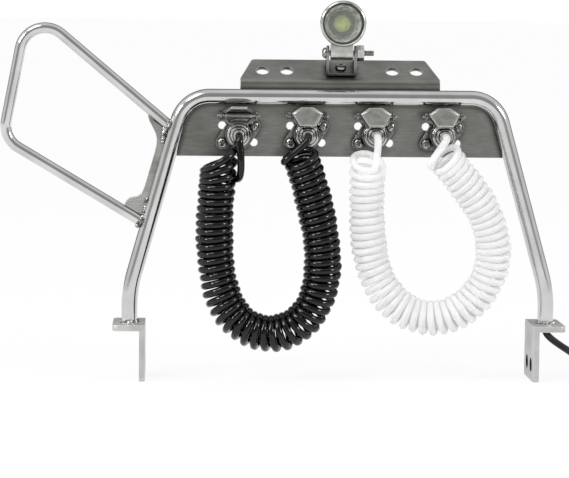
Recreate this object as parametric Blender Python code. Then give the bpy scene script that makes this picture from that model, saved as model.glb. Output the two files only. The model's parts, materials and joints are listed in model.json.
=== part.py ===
# Hose rack for the back of a model truck's cab: a bent tube hoop on two foot brackets,
# a folded plate with four lidded sockets, two curly hoses, a tilting lamp and a side handle.
# X runs to the right, Y to the back and Z up.
import math

import bmesh
import bpy
import numpy as np
from mathutils import Vector

MM = 0.001

# Clearances between pieces that are fixed together, and between pieces that move
SEAT_GAP = 0.1 * MM
RUN_GAP = 0.3 * MM

# Hoop tube
TUBE_DIAMETER = 3.2 * MM
TUBE_BORE = 2.0 * MM
HOOP_TOP_WIDTH = 62.4 * MM
HOOP_HEIGHT = 56.8 * MM
HOOP_CORNER_RADIUS = 6.5 * MM
LEG_BEND_HEIGHT = 17.9 * MM
LEG_BEND_RADIUS = 25.0 * MM

# Foot brackets, folded from sheet, that bolt to two chassis rails
RAIL_WIDTH = 78.0 * MM
FOOT_SHEET = 1.2 * MM
FOOT_DEPTH = 12.0 * MM
FOOT_HEIGHT = 11.4 * MM
FOOT_CORNER_RADIUS = 2.0 * MM
LEG_STANDOFF = 0.4 * MM
TAB_MARGIN = 1.7 * MM
FOOT_HOLE = 2.8 * MM
FOOT_HOLE_SPACING = 5.0 * MM
FOOT_HOLE_HEIGHT = 3.2 * MM
LEAD_HOLE = 2.0 * MM

# Side handle, a bent rod, and the gusset that ties its ends to the left leg
ROD_DIAMETER = 2.2 * MM
HANDLE_TOP_REACH = 20.2 * MM
HANDLE_TOP_HEIGHT = 74.5 * MM
HANDLE_LOW_REACH = 25.3 * MM
HANDLE_LOW_HEIGHT = 48.2 * MM
HANDLE_UPPER_END = 49.9 * MM
HANDLE_LOWER_END = 30.9 * MM
HANDLE_CORNER_RADIUS = 5.0 * MM
GUSSET_SHEET = 1.0 * MM
GUSSET_NECK = 1.8 * MM
GUSSET_FLARE = 4.2 * MM
GUSSET_TAPER = 4.0 * MM
GUSSET_LIP = 0.7 * MM

# Folded plate behind the hoop: upright below, sloping back above the tube
PLATE_SHEET = 0.8 * MM
PLATE_DROP = 12.0 * MM
PLATE_EDGE_TUCK = 0.6 * MM
FOLD_RISE = 3.2 * MM
FOLD_RADIUS = 0.8 * MM
SHELF_SLOPE = math.radians(34.0)
SHELF_LENGTH = 7.5 * MM
SHELF_FRONT_WIDTH = 40.3 * MM
SHELF_BACK_WIDTH = 35.3 * MM
SHELF_CORNER_RADIUS = 0.8 * MM
SHELF_HOLE = 2.7 * MM
SHELF_HOLE_OUTER = 31.2 * MM
SHELF_HOLE_INNER = 21.4 * MM
SHELF_HOLE_RISE = 3.6 * MM

# Four sockets in a row, each with a lid on a pin and a plug in it
SOCKET_COUNT = 4
SOCKET_PITCH = 13.7 * MM
SOCKET_DROP = 7.5 * MM
FLANGE_SHEET = 0.9 * MM
FLANGE_HUB = 6.2 * MM
FLANGE_EAR = 2.6 * MM
SCREW_SPREAD = 6.4 * MM
SCREW_RISE = 3.4 * MM
SCREW_HOLE = 1.6 * MM
SCREW_SHANK = 1.0 * MM
SCREW_HEAD = 2.0 * MM
SCREW_HEAD_HEIGHT = 0.7 * MM
SCREW_NUT = 2.2 * MM
SCREW_NUT_HEIGHT = 0.9 * MM
BARREL_DIAMETER = 5.2 * MM
BARREL_LENGTH = 2.7 * MM
SADDLE_WIDTH = 7.7 * MM
SADDLE_TOP = 2.3 * MM
SADDLE_DEPTH = 1.6 * MM
EAR_SHEET = 0.5 * MM
EAR_RADIUS = 0.9 * MM
PIN_DIAMETER = 0.5 * MM
PIN_LENGTH = 8.6 * MM
PIN_FORWARD = 4.5 * MM
PIN_RISE = 3.9 * MM
LID_SHEET = 0.4 * MM
LID_LENGTH = 3.1 * MM
LID_END_WIDTH = 3.1 * MM
LID_TAB_LENGTH = 1.9 * MM
LID_TAB_WIDTH = 2.2 * MM
LID_REST_DROP = math.radians(45.0)
LID_RAISED = math.radians(65.0)
NOSE_DIAMETER = 3.0 * MM
COLLAR_DIAMETER = 4.7 * MM
COLLAR_LENGTH = 1.4 * MM
STEP_DIAMETER = 3.5 * MM
STEP_LENGTH = 0.7 * MM
GLAND_DIAMETER = 2.5 * MM
GLAND_LENGTH = 1.3 * MM

# Lamp, its U bracket on the shelf, and the pivot bolt
LAMP_OFFSET = 0.2 * MM
BRACKET_SEAT = 3.8 * MM
BRACKET_SHEET = 0.45 * MM
BRACKET_WIDTH = 6.0 * MM
BRACKET_DEPTH = 4.4 * MM
PIVOT_HEIGHT = 4.3 * MM
ARM_TIP_RADIUS = 1.5 * MM
BRACKET_SCREW = 1.3 * MM
BRACKET_SCREW_HEAD = 2.2 * MM
PIVOT_BOLT = 1.1 * MM
PIVOT_HEAD = 2.2 * MM
PIVOT_HEAD_HEIGHT = 0.85 * MM
PIVOT_NUT = 2.8 * MM
PIVOT_NUT_HEIGHT = 1.4 * MM
PIVOT_TAIL = 2.0 * MM
LUG_WIDTH = 4.5 * MM
LUG_THICKNESS = 2.8 * MM
LAMP_RISE = 5.9 * MM
LAMP_DIAMETER = 9.2 * MM
BEZEL_LENGTH = 1.4 * MM
BEZEL_WALL = 0.5 * MM
HOUSING_DIAMETER = 8.6 * MM
HOUSING_WALL = 0.5 * MM
HOUSING_LENGTH = 7.2 * MM
HOUSING_FRONT = 3.0 * MM
LENS_THICKNESS = 0.5 * MM
REFLECTOR_WALL = 0.4 * MM
REFLECTOR_DEPTH = 3.4 * MM
LED_DIAMETER = 3.6 * MM
LED_BASE_HEIGHT = 1.6 * MM

# Curly hoses between plugs 1 and 2, and between plugs 3 and 4
HOSE_DIAMETER = 1.1 * MM
HOSE_CURLS = 30
HOSE_COIL_RADIUS = 3.0 * MM
CURL_POINTS = 8

# Lamp lead, put away in a coil beside the right foot
LEAD_DIAMETER = 1.4 * MM
LEAD_COIL_RADIUS = 9.2 * MM
LEAD_COIL_STEP = 1.9 * MM
LEAD_COIL_TURNS = 2
LEAD_COIL_CENTRE = (59.6 * MM, 0.0)
LOOP_POINTS = 24
TIE_WIDTH = 2.4 * MM
TIE_WALL = 0.5 * MM
LEAD_PLUG_LENGTH = 6.0 * MM
LEAD_PLUG_WIDTH = 3.0 * MM

# Facets of round pieces
ROUND = 18
SMALL_ROUND = 10
BEND_STEPS = 5

# Sizes that follow from the ones above
tube_radius = TUBE_DIAMETER / 2
rod_radius = ROD_DIAMETER / 2
foot_axis = RAIL_WIDTH / 2 + FOOT_SHEET + LEG_STANDOFF + tube_radius
top_axis = HOOP_TOP_WIDTH / 2
plate_front = tube_radius + SEAT_GAP
plate_bottom = HOOP_HEIGHT - PLATE_DROP
fold_height = HOOP_HEIGHT + FOLD_RISE
socket_height = HOOP_HEIGHT - SOCKET_DROP
tab_top = FOOT_HEIGHT
leg_splay = math.atan2(foot_axis - top_axis, HOOP_HEIGHT - LEG_BEND_HEIGHT)
barrel_front = SEAT_GAP + FLANGE_SHEET + BARREL_LENGTH
collar_back = barrel_front + RUN_GAP
collar_front = collar_back + COLLAR_LENGTH
step_front = collar_front + STEP_LENGTH
gland_front = step_front + GLAND_LENGTH
ear_inside = SADDLE_WIDTH / 2 - EAR_SHEET
pin_bore = PIN_DIAMETER / 2 + SEAT_GAP
knuckle_radius = pin_bore + LID_SHEET


def material(name, colour, roughness, metallic):
    made = bpy.data.materials.new(name)
    made.use_nodes = True
    shader = made.node_tree.nodes["Principled BSDF"]
    shader.inputs["Base Color"].default_value = (*colour, 1.0)
    shader.inputs["Roughness"].default_value = roughness
    shader.inputs["Metallic"].default_value = metallic
    return made


def empty(name, parent, location, turn_x=0.0):
    holder = bpy.data.objects.new(name, None)
    bpy.context.collection.objects.link(holder)
    holder.parent = parent
    holder.location = location
    holder.rotation_euler = (turn_x, 0.0, 0.0)
    return holder


def place(name, mesh, finish, parent, location=(0.0, 0.0, 0.0), turn=(0.0, 0.0, 0.0)):
    piece = bpy.data.objects.new(name, mesh)
    bpy.context.collection.objects.link(piece)
    piece.parent = parent
    piece.location = location
    piece.rotation_euler = turn
    if not mesh.materials:
        mesh.materials.append(finish)
    return piece


def lines_meet(point_a, way_a, point_b, way_b):
    offset = point_b - point_a
    across = way_a.x * way_b.y - way_a.y * way_b.x
    return point_a + way_a * ((offset.x * way_b.y - offset.y * way_b.x) / across)


def rounded(points, radii, closed=True, steps=BEND_STEPS):
    # Replaces each corner by an arc of its radius, tangent to both sides
    corners = [Vector(point) for point in points]
    outline = []
    for index, corner in enumerate(corners):
        radius = radii[index]
        at_end = not closed and index in (0, len(corners) - 1)
        if radius <= 0.0 or at_end:
            outline.append(corner)
            continue
        to_last = (corners[index - 1] - corner).normalized()
        to_next = (corners[(index + 1) % len(corners)] - corner).normalized()
        half = to_last.angle(to_next) / 2
        middle = corner + (to_last + to_next).normalized() * (radius / math.sin(half))
        start = corner + to_last * (radius / math.tan(half)) - middle
        end = corner + to_next * (radius / math.tan(half)) - middle
        sweep = start.angle(end)
        for step in range(steps + 1):
            share = step / steps
            arc = start * math.sin((1 - share) * sweep) + end * math.sin(share * sweep)
            outline.append(middle + arc / math.sin(sweep))
    return outline


def circle(radius, segments, centre=(0.0, 0.0)):
    turns = [2 * math.pi * index / segments for index in range(segments)]
    return [Vector((centre[0] + radius * math.cos(turn), centre[1] + radius * math.sin(turn))) for turn in turns]


def hull(points):
    # Convex outline round a set of points
    ordered = sorted({(point[0], point[1]) for point in points})

    def half(row):
        chain = []
        for x, y in row:
            while len(chain) > 1:
                (ax, ay), (bx, by) = chain[-2], chain[-1]
                if (bx - ax) * (y - ay) - (by - ay) * (x - ax) > 0:
                    break
                chain.pop()
            chain.append((x, y))
        return chain[:-1]

    return [Vector(point) for point in half(ordered) + half(ordered[::-1])]


def prism(outline, start, end, to_world):
    # Extrudes a flat outline from start to end, with to_world(a, b, depth) giving each point
    shape = bmesh.new()
    low = [shape.verts.new(to_world(point[0], point[1], start)) for point in outline]
    high = [shape.verts.new(to_world(point[0], point[1], end)) for point in outline]
    shape.faces.new(low)
    shape.faces.new(high)
    for index in range(len(outline)):
        after = (index + 1) % len(outline)
        shape.faces.new((low[index], low[after], high[after], high[index]))
    bmesh.ops.recalc_face_normals(shape, faces=shape.faces[:])
    return shape


def along_x(a, b, depth):
    return Vector((depth, a, b))


def along_y(a, b, depth):
    return Vector((a, depth, b))


def along_z(a, b, depth):
    return Vector((a, b, depth))


def lathe(profile, segments, to_world=along_y, closed=True):
    # Turns a profile of (radius, depth) points round an axis; a zero radius closes on the axis
    shape = bmesh.new()
    rings = []
    for radius, depth in profile:
        if radius <= 0.0:
            rings.append([shape.verts.new(to_world(0.0, 0.0, depth))])
        else:
            rings.append([shape.verts.new(to_world(point.x, point.y, depth)) for point in circle(radius, segments)])
    pairs = list(zip(rings, rings[1:]))
    if closed:
        pairs.append((rings[-1], rings[0]))
    for here, there in pairs:
        for index in range(segments):
            after = (index + 1) % segments
            if len(here) == 1 and len(there) == 1:
                break
            if len(here) == 1:
                shape.faces.new((here[0], there[index], there[after]))
            elif len(there) == 1:
                shape.faces.new((here[index], here[after], there[0]))
            else:
                shape.faces.new((here[index], here[after], there[after], there[index]))
    bmesh.ops.recalc_face_normals(shape, faces=shape.faces[:])
    return shape


def drum(radius, start, end, to_world, segments=SMALL_ROUND, centre=(0.0, 0.0)):
    return prism(circle(radius, segments, centre), start, end, to_world)


def pipe(path, radius, bore_radius, sides):
    # Sweeps a round section, hollow if it has a bore, along a path in the XZ plane
    shape = bmesh.new()
    across = Vector((0.0, 1.0, 0.0))
    points = [Vector((point[0], 0.0, point[1])) for point in path]
    outer_rings = []
    inner_rings = []
    for index, point in enumerate(points):
        before = points[max(index - 1, 0)]
        after = points[min(index + 1, len(points) - 1)]
        side = (after - before).normalized().cross(across)
        turns = [2 * math.pi * step / sides for step in range(sides)]
        ways = [side * math.cos(turn) + across * math.sin(turn) for turn in turns]
        outer_rings.append([shape.verts.new(point + way * radius) for way in ways])
        if bore_radius:
            inner_rings.append([shape.verts.new(point + way * bore_radius) for way in ways])
    for rings in (outer_rings, inner_rings):
        for here, there in zip(rings, rings[1:]):
            for index in range(sides):
                after = (index + 1) % sides
                shape.faces.new((here[index], here[after], there[after], there[index]))
    for end in (0, -1):
        if not bore_radius:
            shape.faces.new(outer_rings[end])
            continue
        for index in range(sides):
            after = (index + 1) % sides
            outer, inner = outer_rings[end], inner_rings[end]
            shape.faces.new((outer[index], outer[after], inner[after], inner[index]))
    bmesh.ops.recalc_face_normals(shape, faces=shape.faces[:])
    return shape


def helper_object(shape):
    mesh = bpy.data.meshes.new("helper")
    shape.to_mesh(mesh)
    shape.free()
    made = bpy.data.objects.new("helper", mesh)
    bpy.context.collection.objects.link(made)
    return made


def solid(shape, joins=(), cuts=(), sheet=0.0, sharp=35.0):
    # Joins shapes to the first one, cuts others out of it and returns the finished mesh;
    # a surface first gets its sheet thickness behind its face
    target = helper_object(shape)
    helpers = []
    if sheet:
        wall = target.modifiers.new("sheet", "SOLIDIFY")
        wall.thickness = sheet
        wall.offset = -1.0
        wall.use_even_offset = True
    for operation, shapes in (("UNION", joins), ("DIFFERENCE", cuts)):
        for other in shapes:
            tool = helper_object(other)
            helpers.append(tool)
            change = target.modifiers.new(operation, "BOOLEAN")
            change.operation = operation
            change.solver = "EXACT"
            change.object = tool
    bpy.context.view_layer.update()
    evaluated = target.evaluated_get(bpy.context.evaluated_depsgraph_get())
    mesh = bpy.data.meshes.new_from_object(evaluated)
    for helper in helpers + [target]:
        bpy.data.objects.remove(helper)
    mesh.shade_smooth()
    mesh.set_sharp_from_angle(angle=math.radians(sharp))
    return mesh


def smooth_route(route, spacing):
    # Points at an even spacing along a smooth spline drawn by the route's points
    points = [Vector(point) for point in route]
    padded = [points[0] * 2 - points[1]] + points + [points[-1] * 2 - points[-2]]
    dense = []
    for before, start, end, after in zip(padded, padded[1:], padded[2:], padded[3:]):
        for step in range(40):
            share = step / 40
            curve = before * (1 - share) ** 3 + start * (3 * share ** 3 - 6 * share ** 2 + 4)
            curve += end * (3 * (share + share ** 2 - share ** 3) + 1) + after * share ** 3
            dense.append(curve / 6)
    dense.append(points[-1])
    reach = [0.0]
    for here, there in zip(dense, dense[1:]):
        reach.append(reach[-1] + (there - here).length)
    count = max(2, round(reach[-1] / spacing))
    wanted = [reach[-1] * index / count for index in range(count + 1)]
    rows = np.array([tuple(point) for point in dense])
    even = [np.interp(wanted, reach, rows[:, axis]) for axis in range(3)]
    return [Vector(point) for point in zip(*even)]


def cord_tube(name, points, diameter, finish, parent, resolution):
    curve = bpy.data.curves.new(name, "CURVE")
    curve.dimensions = "3D"
    curve.bevel_depth = diameter / 2
    curve.bevel_resolution = resolution
    curve.use_fill_caps = True
    spline = curve.splines.new("POLY")
    spline.points.add(len(points) - 1)
    for knot, point in zip(spline.points, points):
        knot.co = (*point, 1.0)
    return place(name, curve, finish, parent)


def least_gap(points, diameter):
    # Clear distance between stretches of one cord that aren't neighbours along it
    dense = []
    for here, there in zip(points, points[1:]):
        dense += [here.lerp(there, step / 4) for step in range(4)]
    rows = np.array([tuple(point) for point in dense])
    steps = np.linalg.norm(np.diff(rows, axis=0), axis=1)
    reach = np.concatenate([[0.0], np.cumsum(steps)])
    apart = np.linalg.norm(rows[:, None, :] - rows[None, :, :], axis=2)
    near = np.abs(reach[:, None] - reach[None, :]) < 3.5 * diameter
    apart = np.where(near, 1.0, apart)
    return float(apart.min()) - diameter


def make_hoop(stand, steel):
    # One bent tube, open at both feet
    foot = tab_top + SEAT_GAP
    corners = [
        (-foot_axis, foot), (-foot_axis, LEG_BEND_HEIGHT), (-top_axis, HOOP_HEIGHT),
        (top_axis, HOOP_HEIGHT), (foot_axis, LEG_BEND_HEIGHT), (foot_axis, foot),
    ]
    radii = [0.0, LEG_BEND_RADIUS, HOOP_CORNER_RADIUS, HOOP_CORNER_RADIUS, LEG_BEND_RADIUS, 0.0]
    path = rounded(corners, radii, closed=False)
    place("hoop_tube", solid(pipe(path, tube_radius, TUBE_BORE / 2, 12)), steel, stand)


def make_feet(stand, steel):
    # L brackets: an upright plate with two bolt holes, folded outwards into a tab under the leg
    half = FOOT_DEPTH / 2
    inside = RAIL_WIDTH / 2
    outside = foot_axis + tube_radius + TAB_MARGIN
    fold = FOOT_SHEET
    profile = rounded(
        [(inside, 0.0), (inside + fold, 0.0), (inside + fold, tab_top - fold), (outside, tab_top - fold),
         (outside, tab_top), (inside, tab_top)],
        [0.0, 0.0, 0.0, 0.0, 0.0, fold], steps=3)
    for name, side in (("left_foot_bracket", -1), ("right_foot_bracket", 1)):
        def to_world(a, b, depth, side=side):
            return Vector((side * a, depth, b))

        cuts = []
        for hole in (-1, 1):
            centre = (hole * FOOT_HOLE_SPACING / 2, FOOT_HOLE_HEIGHT)
            ends = (side * (inside - fold), side * (inside + 2 * fold))
            cuts.append(drum(FOOT_HOLE / 2, min(ends), max(ends), along_x, ROUND, centre))
        if side > 0:
            cuts.append(drum(LEAD_HOLE / 2, tab_top - 2 * fold, tab_top + fold, along_z, SMALL_ROUND, (foot_axis, 0.0)))
        for end in (-1, 1):
            cuts.append(corner_cutter(end * half, 0.0, end, 1, min(ends), max(ends), along_x))
            rim = side * outside
            cuts.append(corner_cutter(rim, end * half, side, end, tab_top - 2 * fold, tab_top + fold, along_z, True))
        place(name, solid(prism(profile, -half, half, to_world), cuts=cuts), steel, stand)


def corner_cutter(a, b, a_way, b_way, start, end, to_world, flat=False):
    # The waste outside a rounded sheet corner at (a, b); a_way and b_way point out of the sheet
    radius = FOOT_CORNER_RADIUS
    b_out = b_way if flat else -b_way
    middle = Vector((a - a_way * radius, b - b_out * radius))
    arc = []
    for step in range(BEND_STEPS + 1):
        turn = math.pi / 2 * step / BEND_STEPS
        arc.append(middle + Vector((a_way * math.cos(turn), b_out * math.sin(turn))) * radius)
    spill = radius / 2
    arc[0].x = a
    arc[-1].y = b
    waste = [
        Vector((arc[-1].x, b + b_out * spill)), Vector((a + a_way * spill, b + b_out * spill)),
        Vector((a + a_way * spill, arc[0].y)),
    ]
    return prism(arc + waste, start, end, to_world)


def leg_line(offset):
    # A line beside the left leg: its point and its downward way, offset to the outside
    way = Vector((-math.sin(leg_splay), -math.cos(leg_splay)))
    out = Vector((-math.cos(leg_splay), math.sin(leg_splay)))
    return Vector((-top_axis, HOOP_HEIGHT)) + out * offset, way


def leg_point(height):
    start, way = leg_line(0.0)
    return start + way * ((height - start.y) / way.y)


def make_handle(stand, steel, sheet_steel):
    # A rod bent at two corners, its ends coped to the left leg, and a gusset along that leg
    upper_end = leg_point(HANDLE_UPPER_END)
    lower_end = leg_point(HANDLE_LOWER_END)
    top = Vector((-foot_axis - HANDLE_TOP_REACH, HANDLE_TOP_HEIGHT))
    low = Vector((-foot_axis - HANDLE_LOW_REACH, HANDLE_LOW_HEIGHT))
    radii = [0.0, HANDLE_CORNER_RADIUS, HANDLE_CORNER_RADIUS, 0.0]
    path = rounded([upper_end, top, low, lower_end], radii, closed=False)
    start, way = leg_line(0.0)
    reach = (HOOP_HEIGHT - LEG_BEND_HEIGHT) / math.cos(leg_splay)
    cope = pipe([start, start + way * reach], tube_radius + SEAT_GAP, 0.0, ROUND)
    place("side_handle", solid(pipe(path, rod_radius, 0.0, 12), cuts=[cope]), steel, stand)

    edge, edge_way = leg_line(tube_radius + SEAT_GAP)
    neck, _ = leg_line(tube_radius + SEAT_GAP + GUSSET_NECK)
    upper_way = (top - upper_end).normalized()
    lower_way = (low - lower_end).normalized()
    upper_side = Vector((upper_way.y, -upper_way.x))
    upper_side *= -1 if upper_side.y > 0 else 1
    lower_side = Vector((lower_way.y, -lower_way.x))
    lower_side *= -1 if lower_side.y < 0 else 1
    upper_seat = upper_end + upper_side * (rod_radius + SEAT_GAP)
    lower_seat = lower_end + lower_side * (rod_radius + SEAT_GAP)
    upper_root = lines_meet(edge, edge_way, upper_seat, upper_way)
    lower_root = lines_meet(edge, edge_way, lower_seat, lower_way)
    upper_tip = upper_root + upper_way * GUSSET_FLARE
    lower_tip = lower_root + lower_way * GUSSET_FLARE
    upper_neck = lines_meet(neck, edge_way, upper_root + edge_way * GUSSET_TAPER, Vector((1.0, 0.0)))
    lower_neck = lines_meet(neck, edge_way, lower_root - edge_way * GUSSET_TAPER, Vector((1.0, 0.0)))
    outline = rounded(
        [upper_root, lower_root, lower_tip, lower_tip + lower_side * GUSSET_LIP, lower_neck,
         upper_neck, upper_tip + upper_side * GUSSET_LIP, upper_tip],
        [0.0, 0.0, 0.0, 0.0, GUSSET_NECK, GUSSET_NECK, 0.0, 0.0], steps=3)
    gusset = prism(outline, -GUSSET_SHEET / 2, GUSSET_SHEET / 2, along_y)
    place("handle_bracket", solid(gusset), sheet_steel, stand)


def socket_places():
    first = -SOCKET_PITCH * (SOCKET_COUNT - 1) / 2
    return [first + SOCKET_PITCH * index for index in range(SOCKET_COUNT)]


def shelf_point(a, rise, lift):
    # A point on the sloping shelf: across, up the slope and off its upper face
    back = plate_front + rise * math.cos(SHELF_SLOPE) - lift * math.sin(SHELF_SLOPE)
    return Vector((a, back, fold_height + rise * math.sin(SHELF_SLOPE) + lift * math.cos(SHELF_SLOPE)))


def make_plate(stand, sheet_steel):
    # One folded sheet: the socket panel fills the hoop's top, and its middle runs on up into the shelf
    tuck = tube_radius - PLATE_EDGE_TUCK
    start, way = leg_line(-tuck)
    low_left = start + way * ((plate_bottom - start.y) / way.y)
    panel_top = HOOP_HEIGHT - tuck
    top_left = start + way * ((panel_top - start.y) / way.y)
    neck = SHELF_FRONT_WIDTH / 2
    back_half = SHELF_BACK_WIDTH / 2
    shelf_end = shelf_point(0.0, SHELF_LENGTH, 0.0)
    fold = rounded(
        [(plate_front, panel_top), (plate_front, fold_height), (shelf_end.y, shelf_end.z)],
        [0.0, FOLD_RADIUS + PLATE_SHEET, 0.0], closed=False, steps=4)[1:-1]
    bend = HOOP_CORNER_RADIUS - tuck
    corners = [
        (-neck, fold[0].y), (-neck, panel_top), (top_left.x, panel_top), (low_left.x, low_left.y),
        (-low_left.x, low_left.y), (-top_left.x, panel_top), (neck, panel_top), (neck, fold[0].y),
    ]
    panel = rounded(corners, [0.0, 0.0, bend, 0.0, 0.0, bend, 0.0, 0.0])
    shape = bmesh.new()
    face = [shape.verts.new((point.x, plate_front, point.y)) for point in panel]
    shape.faces.new(face)
    left, right = face[0], face[-1]
    for row in fold[1:]:
        next_left = shape.verts.new((-neck, row.x, row.y))
        next_right = shape.verts.new((neck, row.x, row.y))
        shape.faces.new((left, right, next_right, next_left))
        left, right = next_left, next_right
    rise = (fold[-1] - Vector((plate_front, fold_height))).length
    shelf = rounded(
        [(-neck, rise), (neck, rise), (back_half, SHELF_LENGTH), (-back_half, SHELF_LENGTH)],
        [0.0, 0.0, SHELF_CORNER_RADIUS, SHELF_CORNER_RADIUS], steps=4)
    shape.faces.new([left, right] + [shape.verts.new(shelf_point(point.x, point.y, 0.0)) for point in shelf[2:]])
    shape.normal_update()

    cuts = []
    for place_x in socket_places():
        for across in (-1, 1):
            for up in (-1, 1):
                centre = (place_x + across * SCREW_SPREAD / 2, socket_height + up * SCREW_RISE / 2)
                ends = (plate_front - PLATE_SHEET, plate_front + 2 * PLATE_SHEET)
                cuts.append(drum(SCREW_HOLE / 2, *ends, along_y, SMALL_ROUND, centre))
    shelf_holes = [(side * width / 2, SHELF_HOLE_RISE, SHELF_HOLE) for side in (-1, 1)
                   for width in (SHELF_HOLE_OUTER, SHELF_HOLE_INNER)]
    shelf_holes.append((LAMP_OFFSET, BRACKET_SEAT, BRACKET_SCREW + 2 * RUN_GAP))
    for across, rise, diameter in shelf_holes:
        cuts.append(drum(diameter / 2, -2 * PLATE_SHEET, PLATE_SHEET, shelf_point, ROUND, (across, rise)))
    place("socket_plate", solid(shape, cuts=cuts, sheet=PLATE_SHEET), sheet_steel, stand)


def forward(a, b, depth):
    # Socket pieces are drawn with depth running forward from the plate's face
    return Vector((a, -depth, b))


def sideways(a, b, depth):
    # Depth runs across, a runs forward from the plate's face and b up
    return Vector((depth, -a, b))


def screw_mesh(head, head_height, shank, under_head, to_world):
    # Pan head screw: the head's seat is at zero and the shank runs back from it
    crown = head_height * 0.4
    profile = [(0.0, head_height), (head * 0.3, head_height), (head / 2, head_height - crown), (head / 2, 0.0),
               (shank / 2, 0.0), (shank / 2, -under_head), (0.0, -under_head)]
    return solid(lathe(profile, SMALL_ROUND, to_world, closed=False))


def nut_mesh(width, height, bore, to_world):
    outline = circle(width / math.sqrt(3.0), 6)
    return solid(prism(outline, 0.0, height, to_world), cuts=[drum(bore / 2, -height, 2 * height, to_world, 10)])


def socket_mesh():
    # Two-eared flange, barrel with a blind bore, and a saddle whose ears carry the lid's pin
    flange_back = SEAT_GAP
    flange_front = SEAT_GAP + FLANGE_SHEET
    screw_at = (SCREW_SPREAD / 2, SCREW_RISE / 2)
    rim = circle(FLANGE_HUB / 2, ROUND)
    rim += circle(FLANGE_EAR / 2, SMALL_ROUND, screw_at)
    rim += circle(FLANGE_EAR / 2, SMALL_ROUND, (-screw_at[0], -screw_at[1]))
    flange = prism(hull(rim), flange_back, flange_front, forward)
    barrel = drum(BARREL_DIAMETER / 2, flange_front - FLANGE_SHEET / 2, barrel_front, forward, ROUND)
    half = SADDLE_WIDTH / 2
    saddle_back = barrel_front - SADDLE_DEPTH
    saddle_low = SADDLE_TOP - SADDLE_DEPTH
    saddle_front = barrel_front - SEAT_GAP
    seat = [(-half, saddle_low), (half, saddle_low), (half, SADDLE_TOP), (-half, SADDLE_TOP)]
    saddle = prism(seat, saddle_back, saddle_front, forward)
    ear_outline = hull(
        [(saddle_back + SEAT_GAP, saddle_low + SEAT_GAP), (saddle_front - SEAT_GAP, saddle_low + SEAT_GAP)]
        + [tuple(point) for point in circle(EAR_RADIUS, SMALL_ROUND, (PIN_FORWARD, PIN_RISE))])
    tuck = EAR_SHEET / 20
    ears = [prism(ear_outline, side * ear_inside, side * (half - tuck), sideways) for side in (-1, 1)]
    bore = drum(NOSE_DIAMETER / 2 + RUN_GAP, flange_back + FLANGE_SHEET / 2, barrel_front * 2, forward, ROUND)
    cuts = [bore, drum(pin_bore, -SADDLE_WIDTH, SADDLE_WIDTH, sideways, SMALL_ROUND, (PIN_FORWARD, PIN_RISE))]
    for side in (-1, 1):
        centre = (side * screw_at[0], side * screw_at[1])
        cuts.append(drum(SCREW_HOLE / 2, -FLANGE_SHEET, 2 * flange_front, forward, SMALL_ROUND, centre))
    return solid(flange, joins=[barrel, saddle] + ears, cuts=cuts)


def lid_mesh():
    # Six-sided flap with a knuckle on the pin's axis; drawn flat, its long end towards the front
    half = ear_inside - RUN_GAP
    outline = [
        (-LID_TAB_WIDTH / 2, LID_TAB_LENGTH), (LID_TAB_WIDTH / 2, LID_TAB_LENGTH), (half, 0.0),
        (LID_END_WIDTH / 2, -LID_LENGTH), (-LID_END_WIDTH / 2, -LID_LENGTH), (-half, 0.0),
    ]
    flap = prism(outline, -LID_SHEET / 2, LID_SHEET / 2, along_z)
    knuckle = drum(knuckle_radius, -half + LID_SHEET, half - LID_SHEET, along_x, SMALL_ROUND)
    bore = drum(pin_bore, -SADDLE_WIDTH, SADDLE_WIDTH, along_x, SMALL_ROUND)
    return solid(flap, joins=[knuckle], cuts=[bore])


def plug_mesh():
    # Turned plug: nose in the socket, collar with a grip groove, step, and gland for the hose
    nose_end = SEAT_GAP + FLANGE_SHEET + RUN_GAP
    nose = NOSE_DIAMETER / 2
    collar = COLLAR_DIAMETER / 2
    bevel = COLLAR_LENGTH / 7
    groove = collar - bevel
    third = COLLAR_LENGTH / 3
    profile = [
        (0.0, nose_end), (nose, nose_end), (nose, collar_back), (groove, collar_back), (collar, collar_back + bevel),
        (collar, collar_back + third), (groove, collar_back + third + bevel / 2),
        (groove, collar_front - third - bevel / 2), (collar, collar_front - third),
        (collar, collar_front - bevel), (groove, collar_front), (STEP_DIAMETER / 2, collar_front),
        (STEP_DIAMETER / 2, step_front), (GLAND_DIAMETER / 2, step_front), (GLAND_DIAMETER / 2, gland_front - bevel),
        (GLAND_DIAMETER / 2 - bevel, gland_front), (0.0, gland_front),
    ]
    return solid(lathe(profile, 14, forward, closed=False))


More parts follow.
